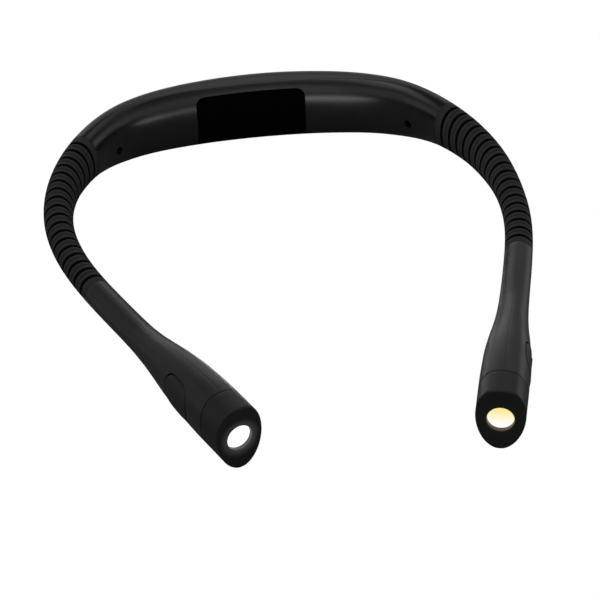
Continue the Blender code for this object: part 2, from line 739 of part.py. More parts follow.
def make_charging(build, line, covers):
    """Main board with the charging socket in the lower edge of the rear cover, and the charge light."""
    board_offset = SOCKET_OFFSET - SOCKET_THICKNESS / 2 - FIT_GAP - BOARD_THICKNESS / 2
    placement = line.matrix(MAIN_BOARD_STATION, board_offset, 0.0, "outward")
    board = block((MAIN_BOARD_HEIGHT, MAIN_BOARD_LENGTH, BOARD_THICKNESS), placement)
    build.object("main_board", board, "housing", "circuit_board")

    mouth_rise = SOCKET_RECESS - AXIS_HEIGHT
    mouth = line.matrix(MAIN_BOARD_STATION, SOCKET_OFFSET, mouth_rise, "up")
    inner_width, inner_thickness = (value - 2 * SOCKET_WALL for value in (SOCKET_WIDTH, SOCKET_THICKNESS))
    rings = [socket_ring(SOCKET_WIDTH, SOCKET_THICKNESS, along) for along in (SOCKET_DEPTH, 0.0)]
    rings += [socket_ring(inner_width, inner_thickness, along)
              for along in (0.0, SOCKET_DEPTH - SOCKET_WALL)]
    shell = ring_loft(rings)
    shell.transform(mouth)
    socket = build.object("charging_socket", shell, "housing", "bright_metal")
    tongue_low = SOCKET_DEPTH - SOCKET_WALL / 2 - SOCKET_TONGUE_LENGTH
    centre = tongue_low + SOCKET_TONGUE_LENGTH / 2
    sizes = (SOCKET_TONGUE_WIDTH, SOCKET_TONGUE_THICKNESS, SOCKET_TONGUE_LENGTH)
    tongue = block(sizes, mouth @ Matrix.Translation((0.0, 0.0, centre)))
    build.combine(socket, [build.object("tongue", tongue, "housing", "bright_metal")], "UNION")

    cut_width, cut_thickness = (value + 2 * FIT_GAP for value in (SOCKET_WIDTH, SOCKET_THICKNESS))
    cut_end = SOCKET_DEPTH
    cut = ring_loft([socket_ring(cut_width, cut_thickness, along) for along in (-AXIS_HEIGHT / 2, cut_end)])
    cut.transform(mouth)
    pipe_station = MAIN_BOARD_STATION + LIGHT_PIPE_SPACING
    foot = line.matrix(pipe_station, SOCKET_OFFSET, mouth_rise, "up")
    pipe = rod(LIGHT_PIPE_DIAMETER, LIGHT_PIPE_LENGTH, foot)
    build.object("charge_light_pipe", pipe, "housing", "light_pipe")
    below = foot @ Matrix.Translation((0.0, 0.0, -AXIS_HEIGHT / 2))
    pipe_cut = rod(LIGHT_PIPE_DIAMETER + 2 * FIT_GAP, AXIS_HEIGHT, below)
    tools = [build.object("socket_cut", cut, "housing", "bright_metal"),
             build.object("pipe_cut", pipe_cut, "housing", "light_pipe")]
    build.combine(covers["rear_cover"], tools, "DIFFERENCE")


def ring_at(line, station, outline, sides, turn=0.0):
    """World points of a section's outline at a station."""
    return [line.point(station, *place) for place in outline.ring(sides, turn)]


def groove_stations():
    """Middle stations of the sleeve's deep grooves, evenly pitched."""
    first = HOUSING_HALF_LENGTH + FIT_GAP + SLEEVE_COLLAR
    last = HEAD_START - FIT_GAP - SLEEVE_CUFF
    return between(first, last, SLEEVE_GROOVES - 1)


def sleeve_rings():
    """Station and outline of each ring along a sleeve's outside, from plug to plug."""
    start, end = HOUSING_HALF_LENGTH + FIT_GAP, HEAD_START - FIT_GAP
    root_plug = section(start).inset(HOUSING_WALL + FIT_GAP)
    tip_plug = section(end).inset(HEAD_WALL + FIT_GAP)
    rings = [(start - SLEEVE_PLUG_LENGTH, root_plug), (start, root_plug), (start, section(start))]
    half = SLEEVE_GROOVE_WIDTH / 2
    for middle in groove_stations():
        rings.append((middle - half, section(middle - half)))
        rings.append((middle, section(middle).inset(SLEEVE_GROOVE_DEPTH)))
        rings.append((middle + half, section(middle + half)))
    return rings + [(end, section(end)), (end, tip_plug), (end + SLEEVE_PLUG_LENGTH, tip_plug)]


def make_arm(build, line, name):
    """Ribbed sleeve, bendable metal core and lamp wire of one arm."""
    carrier = f"{name}_arm"
    bore = round_section(CORE_DIAMETER + 2 * FIT_GAP)
    rings = sleeve_rings()
    mesh = ring_loft([ring_at(line, station, outline, SLEEVE_SIDES) for station, outline in rings])
    sleeve = build.object(f"{name}_sleeve", mesh, carrier, "sleeve", SLEEVE_SHADING_ANGLE)
    low, high = rings[0][0] - CUT_OVERRUN, rings[-1][0] + CUT_OVERRUN
    hole = ring_loft([ring_at(line, station, bore, BORE_SIDES)
                      for station in between(low, high, SLEEVE_BORE_STATIONS)])
    build.combine(sleeve, [build.object("bore_cut", hole, carrier, "sleeve")], "DIFFERENCE")

    stations = between(*core_span(), CORE_STATIONS)
    rings = [ring_at(line, station, round_section(CORE_DIAMETER), BORE_SIDES) for station in stations]
    rings += [ring_at(line, station, round_section(CORE_BORE), BORE_SIDES) for station in reversed(stations)]
    build.object(f"{name}_gooseneck", ring_loft(rings, capped=False), carrier, "bright_metal")
    make_wire(build, line, name)


def core_span():
    """Stations of the bendable core's two ends, each just past its clamp."""
    reach = SLEEVE_PLUG_LENGTH + 2 * FIT_GAP + CLAMP_LENGTH + CORE_END_SPARE
    return HOUSING_HALF_LENGTH - reach, HEAD_START + reach


def wire_route(name):
    """Stations, offsets and heights that a lamp wire passes, from the main board to the LED board."""
    core_low, _ = core_span()
    inside = MAIN_BOARD_STATION - MAIN_BOARD_LENGTH / 2
    outside = MAIN_BOARD_STATION + MAIN_BOARD_LENGTH / 2
    switch_start, switch_end = (BUTTON_STATION + half * SWITCH_BOARD_LENGTH / 2 for half in (-1, 1))
    places = [(core_low, 0.0, 0.0), (HEAD_START + WIRE_NECK_SHARE * HEAD_LENGTH, 0.0, 0.0),
              (switch_start, WIRE_SWITCH_OFFSET, WIRE_SWITCH_RISE),
              (switch_end, WIRE_SWITCH_OFFSET, WIRE_SWITCH_RISE),
              (lamp_depths()[-1] - BOARD_THICKNESS - FIT_GAP, 0.0, WIRE_SWITCH_RISE)]
    boss = [(SCREW_STATION + side * WIRE_BOSS_REACH, 0.0, WIRE_BOSS_RISE) for side in (-1, 1)]
    if name == "left":
        board_top = MAIN_BOARD_HEIGHT / 2 + WIRE_DIAMETER / 2 + FIT_GAP
        start = [(-inside - WIRE_LAP, 0.0, board_top), (-inside + WIRE_LAP, 0.0, WIRE_BATTERY_RISE),
                 (BATTERY_LENGTH / 2 + WIRE_LAP, 0.0, WIRE_BATTERY_RISE)]
    else:
        start = [(outside + FIT_GAP, 0.0, WIRE_BOARD_RISE)]
    return start + boss + places


def smooth_between(route, station):
    """Offset and height on a route at a station, eased between its places."""
    for (low, *low_place), (high, *high_place) in zip(route, route[1:]):
        if station <= high:
            part = max(station - low, 0.0) / (high - low)
            ease = part * part * (3 - 2 * part)
            return [a + (b - a) * ease for a, b in zip(low_place, high_place)]
    return list(route[-1][1:])


def make_wire(build, line, name):
    """Lamp wire, from the main board through the core to the LED board."""
    route = wire_route(name)
    count = round((route[-1][0] - route[0][0]) / WIRE_SPACING)
    rings = []
    outline = round_section(WIRE_DIAMETER).ring(WIRE_SIDES)
    for station in between(route[0][0], route[-1][0], count):
        offset, rise = smooth_between(route, station)
        rings.append([line.point(station, offset + aside, rise + above) for aside, above in outline])
    build.object(f"{name}_lamp_wire", ring_loft(rings), f"{name}_arm", "wire")


def make_clamps(build, line, name):
    """Clamps that hold the core's ends, one in the housing and one in the lamp head."""
    bore = CORE_DIAMETER + 2 * FIT_GAP
    half = CLAMP_LENGTH / 2
    reach = SLEEVE_PLUG_LENGTH + FIT_GAP + half
    back = Matrix.Translation((0.0, 0.0, -half))
    head_clamp_diameter = SLEEVE_DIAMETER - 2 * (HEAD_WALL + FIT_GAP)
    for place, middle, diameter, carrier in (
            ("housing", HOUSING_HALF_LENGTH - reach, HOUSING_CLAMP_DIAMETER, "housing"),
            ("head", HEAD_START + reach, head_clamp_diameter, f"{name}_head")):
        mesh = tube(diameter, bore, CLAMP_LENGTH, line.matrix(middle) @ back)
        build.object(f"{name}_{place}_clamp", mesh, carrier, "hardware")


def make_head_shells(build, line, name):
    """The two halves of a lamp head's casing, the outer one open for the button."""
    stations = between(HEAD_START, CAP_START - FIT_GAP, HEAD_STATIONS)
    shells = {}
    for part, outer, gap in (("outer", True, FIT_GAP / 2), ("inner", False, -FIT_GAP / 2)):
        mesh = half_shell(line, stations, HEAD_WALL, head_seams(gap), outer, HEAD_ARC_STEPS)
        shells[part] = build.object(f"{name}_head_{part}_shell", mesh, f"{name}_head", "head_shell")
    hole = button_prism(line, 0.0, section(BUTTON_STATION).width, FIT_GAP)
    cutter = build.object("button_cut", hole, f"{name}_head", "head_shell")
    build.combine(shells["outer"], [cutter], "DIFFERENCE")
    board_back = switch_depths()[3]
    wall_depth = section(BUTTON_STATION).width / 2 - HEAD_WALL + JOIN_DEPTH
    low, high = -wall_depth, board_back - FIT_GAP
    for side in (-1, 1):
        station = BUTTON_STATION + side * SWITCH_RIB_SPACING / 2
        placement = line.matrix(station, (low + high) / 2, -SWITCH_RIB_DROP, "outward")
        rib = block((SWITCH_RIB_HEIGHT, SWITCH_RIB_THICKNESS, high - low), placement)
        build.combine(shells["inner"], [build.object("rib", rib, f"{name}_head", "head_shell")], "UNION")


def make_cap(build, line, name):
    """Lamp cap: the head's front end, hollow, with a round opening in its face."""
    back = FACE_STATION - CAP_FRONT_WALL
    opening = round_section(LENS_OPENING_DIAMETER)
    outlines = [(CAP_START, section(CAP_START))]
    for turn in between(0.0, math.pi / 2, CAP_EDGE_STEPS):
        station = FACE_STATION - CAP_EDGE_RADIUS * (1 - math.sin(turn))
        inset = CAP_EDGE_RADIUS * (1 - math.cos(turn))
        outlines.append((station, section(station).inset(inset)))
    outlines += [(FACE_STATION, opening), (back, opening)]
    outlines += [(station, section(station).inset(HEAD_WALL)) for station in (back, CAP_START)]
    rings = [ring_at(line, station, outline, CAP_SIDES, 0.5) for station, outline in outlines]
    mesh = ring_loft(rings, capped=False)
    build.object(f"{name}_lamp_cap", mesh, f"{name}_head", "lamp_cap")


def lamp_depths():
    """Stations, counted from the face backwards, of the lens, the reflector and the LED board."""
    lens_front = FACE_STATION - CAP_FRONT_WALL - FIT_GAP
    lens_back = lens_front - LENS_THICKNESS
    reflector_front = lens_back - FIT_GAP
    reflector_back = reflector_front - REFLECTOR_LENGTH
    board_front = reflector_back - FIT_GAP
    return lens_front, lens_back, reflector_front, reflector_back, board_front


def make_lamp(build, line, name):
    """Lens, reflector, LED and LED board in the lamp cap."""
    carrier = f"{name}_head"
    _, lens_back, _, reflector_back, board_front = lamp_depths()
    flange, middle = LENS_DIAMETER / 2, LENS_OPENING_DIAMETER / 2 - FIT_GAP
    crest = FACE_STATION - LENS_RECESS - lens_back
    turns = [math.radians(angle) for angle in LENS_DOME_ANGLES]
    dome = [(middle * math.cos(turn), crest - LENS_DOME * (1 - math.sin(turn))) for turn in turns]
    rim = [(0.0, 0.0), (flange, 0.0), (flange, LENS_THICKNESS), (middle, LENS_THICKNESS)]
    profile = [*rim, *dome, (0.0, crest)]
    build.object(f"{name}_lens", turned(profile, line.matrix(lens_back)), carrier, "lens")
    outer, mouth, throat = (value / 2 for value in (REFLECTOR_DIAMETER, REFLECTOR_MOUTH, REFLECTOR_THROAT))
    cup = [(throat, 0.0), (outer, 0.0), (outer, REFLECTOR_LENGTH), (mouth, REFLECTOR_LENGTH),
           ((mouth + throat) / 2 + FIT_GAP, REFLECTOR_LENGTH * REFLECTOR_BEND_SHARE)]
    build.object(f"{name}_reflector", turned(cup, line.matrix(reflector_back)), carrier, "reflector")
    rings = [ring_at(line, station, section(station).inset(HEAD_WALL + FIT_GAP), CAP_SIDES, 0.5)
             for station in (board_front - BOARD_THICKNESS, board_front)]
    build.object(f"{name}_led_board", ring_loft(rings), carrier, "circuit_board")
    seat = line.matrix(board_front + LED_LIFT + LED_HEIGHT / 2)
    build.object(f"{name}_led", block((LED_WIDTH, LED_WIDTH, LED_HEIGHT), seat), carrier, "led")


def button_outline(spread, sides=BUTTON_SIDES):
    """Outline of the button as distances along the head and up from its centre."""
    length, height = BUTTON_LENGTH + 2 * spread, BUTTON_HEIGHT + 2 * spread
    return Section(length, height, BUTTON_EXPONENT, BUTTON_EXPONENT, 0.0, -height).ring(sides)


def head_point(line, along, offset, rise):
    """World position of a point beside the button's centre, in the button's own straight directions."""
    _, forward, _ = line.frame(BUTTON_STATION)
    return line.point(BUTTON_STATION, offset, BUTTON_RISE + rise) + forward * along


def button_prism(line, low, high, spread):
    """Straight prism of the button's outline between two offsets."""
    return ring_loft([[head_point(line, along, offset, rise) for along, rise in button_outline(spread)]
                      for offset in (low, high)])


def switch_depths():
    """Offsets of the plunger's top, the switch's two faces and the switch board's back."""
    plunger_top = BUTTON_STEM_REACH - BUTTON_FLANGE_THICKNESS - FIT_GAP
    switch_top = plunger_top - PLUNGER_STAND
    switch_back = switch_top - SWITCH_DEPTH
    board_back = switch_back - FIT_GAP - BOARD_THICKNESS
    return plunger_top, switch_top, switch_back, board_back


def make_button(build, line, name):
    """Push button: a cap that follows the head's surface, with a flange that keeps it in its hole."""
    outline = button_outline(0.0)
    rings = []
    for share in BUTTON_RING_SHARES:
        proud = BUTTON_PROUD - (BUTTON_EDGE_DROP if share == max(BUTTON_RING_SHARES) else 0.0)
        ring = []
        for along, rise in outline:
            surface = section(BUTTON_STATION + along * share).offset_at_rise(BUTTON_RISE + rise * share)
            ring.append(head_point(line, along * share, surface + proud, rise * share))
        rings.append(ring)
    stem = [head_point(line, along, BUTTON_STEM_REACH, rise) for along, rise in outline]
    wide = button_outline(BUTTON_FLANGE_LIP)
    flange = [[head_point(line, along, offset, rise) for along, rise in wide]
              for offset in (BUTTON_STEM_REACH, BUTTON_STEM_REACH - BUTTON_FLANGE_THICKNESS)]
    mesh = ring_loft([flange[1], flange[0], stem, *rings])
    carrier = f"{name}_button_press"
    button = build.object(f"{name}_button", mesh, carrier, "button", BUTTON_SHADING_ANGLE)
    mark_rise = BUTTON_RISE + BUTTON_MARK_RISE
    surface = section(BUTTON_STATION).offset_at_rise(mark_rise) + BUTTON_PROUD
    placement = line.matrix(BUTTON_STATION, surface, mark_rise, "outward")
    bar = block((BUTTON_MARK_LENGTH, BUTTON_MARK_WIDTH, 2 * BUTTON_MARK_HEIGHT), placement)
    build.combine(button, [build.object("mark", bar, carrier, "button")], "UNION")


def make_switch(build, line, name):
    """Push switch and its board behind the button; the plunger moves with the button."""
    plunger_top, switch_top, switch_back, board_back = switch_depths()
    length = PLUNGER_STAND + PLUNGER_SINK
    placement = line.matrix(BUTTON_STATION, plunger_top - length, BUTTON_RISE, "outward")
    build.object(f"{name}_switch_plunger", rod(PLUNGER_DIAMETER, length, placement, TURNED_SIDES // 2),
                 f"{name}_button_press", "switch")
    carrier = f"{name}_head"
    centre = line.matrix(BUTTON_STATION, (switch_top + switch_back) / 2, BUTTON_RISE, "outward")
    sizes = (SWITCH_WIDTH, SWITCH_WIDTH, SWITCH_DEPTH)
    body = build.object(f"{name}_switch", block(sizes, centre), carrier, "switch")
    depth = PLUNGER_SINK + BUTTON_TRAVEL + FIT_GAP
    well = line.matrix(BUTTON_STATION, switch_top - depth, BUTTON_RISE, "outward")
    tool = rod(PLUNGER_DIAMETER + 2 * FIT_GAP, depth + CUT_OVERRUN, well, TURNED_SIDES // 2)
    build.combine(body, [build.object("well", tool, carrier, "switch")], "DIFFERENCE")
    middle = line.matrix(BUTTON_STATION, board_back + BOARD_THICKNESS / 2, BUTTON_RISE, "outward")
    board = block((SWITCH_BOARD_HEIGHT, SWITCH_BOARD_LENGTH, BOARD_THICKNESS), middle)
    build.object(f"{name}_switch_board", board, carrier, "circuit_board")


def add_materials(build):
    """Colours and finishes of every kind of piece."""
    finishes = {
        "rear_cover": ((0.055, 0.055, 0.057), 0.55, 0.0),
        "inner_cover": ((0.012, 0.013, 0.016), 0.28, 0.0),
        "neck_pad": ((0.003, 0.003, 0.003), 0.75, 0.0),
        "sleeve": ((0.022, 0.022, 0.022), 0.65, 0.0),
        "head_shell": ((0.024, 0.024, 0.023), 0.45, 0.0),
        "lamp_cap": ((0.020, 0.020, 0.021), 0.42, 0.0),
        "button": ((0.026, 0.026, 0.025), 0.50, 0.0),
        "lens": ((0.95, 0.92, 0.82), 0.20, 0.0),
        "reflector": ((0.85, 0.85, 0.82), 0.15, 0.8),
        "led": ((0.95, 0.85, 0.35), 0.40, 0.0),
        "light_pipe": ((0.85, 0.85, 0.85), 0.25, 0.0),
        "circuit_board": ((0.03, 0.14, 0.07), 0.50, 0.0),
        "battery": ((0.62, 0.64, 0.66), 0.35, 0.3),
        "bright_metal": ((0.60, 0.60, 0.60), 0.30, 1.0),
        "hardware": ((0.14, 0.14, 0.15), 0.40, 0.9),
        "switch": ((0.05, 0.05, 0.05), 0.50, 0.0),
        "wire": ((0.45, 0.04, 0.03), 0.55, 0.0),
    }
    for name, (colour, roughness, metallic) in finishes.items():
        build.materials[name] = material(name, colour, roughness, metallic)


def add_carriers(build, lines):
    """Empties of the moving bodies, each on its joint's axis."""
    build.carrier("housing", Vector())
    for name, line in lines.items():
        swing = HOUSING_HALF_LENGTH + SWING_SHARE * SLEEVE_LENGTH
        lift = HOUSING_HALF_LENGTH + LIFT_SHARE * SLEEVE_LENGTH
        build.carrier(f"{name}_arm", line.point(swing), "housing")
        build.carrier(f"{name}_head", line.point(lift), f"{name}_arm")
        press = line.point(BUTTON_STATION, 0.0, BUTTON_RISE)
        build.carrier(f"{name}_button_press", press, f"{name}_head")


def main():
    for existing in list(bpy.data.objects):
        bpy.data.objects.remove(existing)
    lines = {name: CentreLine(name) for name in SIDES}
    build = Builder()
    add_materials(build)
    add_carriers(build, lines)
    spine = lines["right"]
    covers = make_covers(build, spine)
    make_screws(build, spine)
    make_neck_pad(build, spine, covers)
    make_battery(build, spine)
    make_charging(build, spine, covers)
    for name, line in lines.items():
        make_arm(build, line, name)
        make_clamps(build, line, name)
        make_head_shells(build, line, name)
        make_cap(build, line, name)
        make_lamp(build, line, name)
        make_button(build, line, name)
        make_switch(build, line, name)


main()
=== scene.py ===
"""Dresses the neck reading light for its studio picture.

Lengths are in metres, angles in degrees and +Z is up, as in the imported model. Every outer piece follows its
arm's centre line: a station is a distance along that line from the housing's middle, and a section point is
an offset away from the wearer's neck with a height above the line.
"""

from __future__ import annotations

import logging
import math
from collections.abc import Callable, Iterable, Sequence
from dataclasses import dataclass, field, replace
from enum import Enum
from typing import Any

import bmesh
import bpy
from mathutils import Matrix, Vector


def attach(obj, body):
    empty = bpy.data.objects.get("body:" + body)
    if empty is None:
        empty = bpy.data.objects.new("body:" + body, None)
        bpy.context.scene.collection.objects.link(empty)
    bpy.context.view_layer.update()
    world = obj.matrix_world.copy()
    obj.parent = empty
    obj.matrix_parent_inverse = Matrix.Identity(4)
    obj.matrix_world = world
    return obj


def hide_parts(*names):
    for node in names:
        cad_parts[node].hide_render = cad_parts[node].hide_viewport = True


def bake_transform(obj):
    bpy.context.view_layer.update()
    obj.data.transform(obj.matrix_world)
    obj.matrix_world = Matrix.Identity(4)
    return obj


Colour = tuple[float, float, float]
Place = tuple[float, float]

LOG = logging.getLogger("neck_light")
WELD_DISTANCE = 1e-7
BAR_SIDES = 48
WOUND_WIRE_SIDES = 7
# Share of the painted groove shade that the fine line between grooves gets.
FINE_LINE_SHADE = 0.20
NOISE_ROUGHNESS = 0.55
NO_STATION = -1.0
BLACK: Colour = (0.0, 0.0, 0.0)
WHITE: Colour = (1.0, 1.0, 1.0)
NOISE_MIDDLE: Place = (0.3, 0.7)


class Side(Enum):
    """The two arms, named as seen from the lamps."""

    LEFT = "left"
    RIGHT = "right"

    @property
    def sign(self) -> int:
        """Direction of this side along X."""
        return -1 if self is Side.LEFT else 1


class Axis(Enum):
    """Which way a placement's local Z runs."""

    ALONG = "along"
    OUTWARD = "outward"
    UP = "up"


class Half(Enum):
    """The two halves of a casing."""

    OUTER = "outer"
    INNER = "inner"


def spread(low: float, high: float, steps: int) -> list[float]:
    """Evenly spaced values.

    Args:
        low: First value.
        high: Last value.
        steps: Number of equal steps between them.

    Returns:
        The values, both ends included.
    """
    return [low + (high - low) * index / steps for index in range(steps + 1)]


def share_of(value: float, low: float, high: float) -> float:
    """How far a value lies between two limits, from 0 to 1."""
    return min(max((value - low) / (high - low), 0.0), 1.0)


def hermite(low: float, high: float, low_slope: float, high_slope: float, part: float) -> float:
    """Cubic between two values.

    Args:
        low: Value at the start.
        high: Value at the end.
        low_slope: Slope at the start, for the whole stretch.
        high_slope: Slope at the end, for the whole stretch.
        part: Share of the stretch.

    Returns:
        The value there.
    """
    rest = 1 - part
    return (low * (1 + 2 * part) * rest**2 + low_slope * part * rest**2
            + high * (3 - 2 * part) * part**2 - high_slope * rest * part**2)


@dataclass(frozen=True)
class Profile:
    """Smooth curve through rows of (station, value, value), level at a crest and without overshoot."""

    rows: tuple[tuple[float, ...], ...]

    def slope(self, column: int, index: int) -> float:
        """Slope of one column at a row.

        Args:
            column: Column of the value.
            index: Row.

        Returns:
            The harmonic mean of the slopes on both sides, or 0 at a crest and at an end.
        """
        if index in (0, len(self.rows) - 1):
            return 0.0
        before, here, after = self.rows[index - 1:index + 2]
        sides = [(high[column] - low[column]) / (high[0] - low[0])
                 for low, high in ((before, here), (here, after))]
        if sides[0] * sides[1] <= 0:
            return 0.0
        return 2 / (1 / sides[0] + 1 / sides[1])

    def values(self, station: float) -> list[float]:
        """All values at a station.

        Args:
            station: Distance along the line.

        Returns:
            One value for each column after the first.
        """
        last = len(self.rows) - 2
        index = next((i for i in range(last) if station < self.rows[i + 1][0]), last)
        low, high = self.rows[index], self.rows[index + 1]
        span = high[0] - low[0]
        part = share_of(station, low[0], high[0])
        return [hermite(low[c], high[c], self.slope(c, index) * span, self.slope(c, index + 1) * span, part)
                for c in range(1, len(low))]


@dataclass(frozen=True)
class Outline:
    """Rounded outline of one cross-section, blunter or sharper in its upper and lower halves.

    An angle is measured from the side away from the neck, upwards. The lift is how far the widest level
    lies above the middle, and the floor is the lowest level that the outline may reach. The crown is how
    far the top is pressed flat between two soft lines beside its middle.
    """

    width: float
    height: float
    upper: float = 2.0
    lower: float = 2.0
    lift: float = 0.0
    floor: float = -1.0
    crown: float = 0.0
    crown_width: float = 0.57

    def inset(self, depth: float) -> Outline:
        """The same outline at a depth below this one."""
        return replace(self, width=self.width - 2 * depth, height=self.height - 2 * depth)

    def half(self, above: bool) -> tuple[float, float]:
        """Exponent and reach of the upper or the lower half."""
        if above:
            return self.upper, self.height / 2 - self.lift
        return self.lower, self.height / 2 + self.lift

    def point(self, angle: float) -> Place:
        """Offset and rise at an angle."""
        cosine, sine = math.cos(angle), math.sin(angle)
        exponent, reach = self.half(sine > 0)
        offset = math.copysign(abs(cosine) ** (2 / exponent), cosine) * self.width / 2
        rise = math.copysign(abs(sine) ** (2 / exponent), sine) * reach + self.lift
        if sine > 0:
            rise -= self.crown * (1 - min(2 * abs(offset) / (self.width * self.crown_width), 1.0) ** 2)
        return offset, max(rise, self.floor)

    def angle_at_offset(self, offset: float, above: bool) -> float:
        """Angle at which the upper or the lower half passes an offset."""
        exponent, _ = self.half(above)
        share = max(-1.0, min(1.0, 2 * offset / self.width))
        angle = math.acos(math.copysign(abs(share) ** (exponent / 2), share))
        return angle if above else -angle

    def angle_at_rise(self, rise: float) -> float:
        """Angle, between straight down and straight up, at which the outline reaches a level."""
        exponent, reach = self.half(rise > self.lift)
        share = max(-1.0, min(1.0, (rise - self.lift) / reach))
        return math.asin(math.copysign(abs(share) ** (exponent / 2), share))

    def offset_at_rise(self, rise: float) -> float:
        """Offset of the outline away from the neck at a level."""
        return self.point(self.angle_at_rise(rise))[0]

    def ring(self, sides: int, turn: float = 0.0) -> list[Place]:
        """Points all round the outline.

        Args:
            sides: Number of points.
            turn: Share of a side by which the first point is turned.

        Returns:
            The points.
        """
        return [self.point(2 * math.pi * (index + turn) / sides) for index in range(sides)]


@dataclass(frozen=True)
class LightForm:
    """Centre line and cross-sections of the whole light."""

    housing_half: float = 0.0846
    housing_turns: tuple[float, float] = (19.0, 43.4)
    housing_end_bend: float = 640.0
    sleeve_length: float = 0.1019
    head_length: float = 0.0987
    sleeve_turns: dict[Side, tuple[float, ...]] = field(
        default_factory=lambda: {Side.LEFT: (20.4, 19.2, 10.7), Side.RIGHT: (18.5, 14.1, 10.6)})
    head_turns: dict[Side, float] = field(default_factory=lambda: {Side.LEFT: 0.8, Side.RIGHT: 1.8})
    housing_rows: tuple[tuple[float, ...], ...] = (
        (0.0, 0.0125, 0.0280), (0.33, 0.0125, 0.0272), (0.66, 0.0123, 0.0247), (1.0, 0.0127, 0.0189))
    sleeve_rows: tuple[tuple[float, ...], ...] = (
        (0.33, 0.0114, 0.0162), (0.66, 0.0102, 0.0112), (0.9, 0.0100, 0.0100))
    head_rows: tuple[tuple[float, ...], ...] = (
        (0.0, 0.0100, 0.0100), (0.22, 0.0100, 0.0100), (0.33, 0.0102, 0.0105), (0.42, 0.0108, 0.0125),
        (0.5, 0.0119, 0.0155), (0.6, 0.0140, 0.0186), (0.7, 0.0154, 0.0209), (0.85, 0.0158, 0.0226),
        (1.0, 0.0156, 0.0227))
    housing_exponents: tuple[float, float] = (2.25, 2.6)
    round_exponent: float = 2.0
    rounding_start: float = 0.010
    rounding_length: float = 0.030
    egg_lift_share: float = 0.05
    egg_upper: float = 2.2
    egg_lower: float = 1.9
    egg_shares: tuple[float, float] = (0.35, 0.95)
    crown_drop: float = 0.0006
    housing_flat: float = 0.0004
    head_flat: float = 0.0003

    def __post_init__(self) -> None:
        """Join the three stretches' rows into one profile."""
        rows = []
        for table, start, length in ((self.housing_rows, 0.0, self.housing_half),
                                     (self.sleeve_rows, self.housing_half, self.sleeve_length),
                                     (self.head_rows, self.head_start, self.head_length)):
            rows += [(start + share * length, *sizes) for share, *sizes in table]
        object.__setattr__(self, "profile", Profile(tuple(rows)))

    @property
    def head_start(self) -> float:
        """Station where the head begins."""
        return self.housing_half + self.sleeve_length

    @property
    def face(self) -> float:
        """Station of the lamp's face."""
        return self.head_start + self.head_length

    def axis_height(self, station: float) -> float:
        """Height of the centre line: it sinks along the sleeve, so that the heads lie on the table too."""
        high = self.housing_rows[0][2] / 2 - self.housing_flat
        low = self.head_rows[-1][2] / 2 - self.head_flat
        return high + (low - high) * share_of(abs(station), self.housing_half, self.head_start)

    def outline(self, station: float) -> Outline:
        """Cross-section of the light's surface.

        Args:
            station: Distance along the line.

        Returns:
            The outline there.
        """
        place = abs(station)
        width, height = self.profile.values(place)
        start = self.housing_half - self.rounding_start
        rounding = share_of(place, start, start + self.rounding_length)
        upper, lower = (blunt + (self.round_exponent - blunt) * rounding
                        for blunt in self.housing_exponents)
        low, high = self.egg_shares
        egg = share_of((place - self.head_start) / self.head_length, low, high)
        upper += (self.egg_upper - self.round_exponent) * egg
        lower += (self.egg_lower - self.round_exponent) * egg
        lift = self.egg_lift_share * height * egg
        return Outline(width, height, upper, lower, lift, -self.axis_height(place), self.crown_drop * egg)


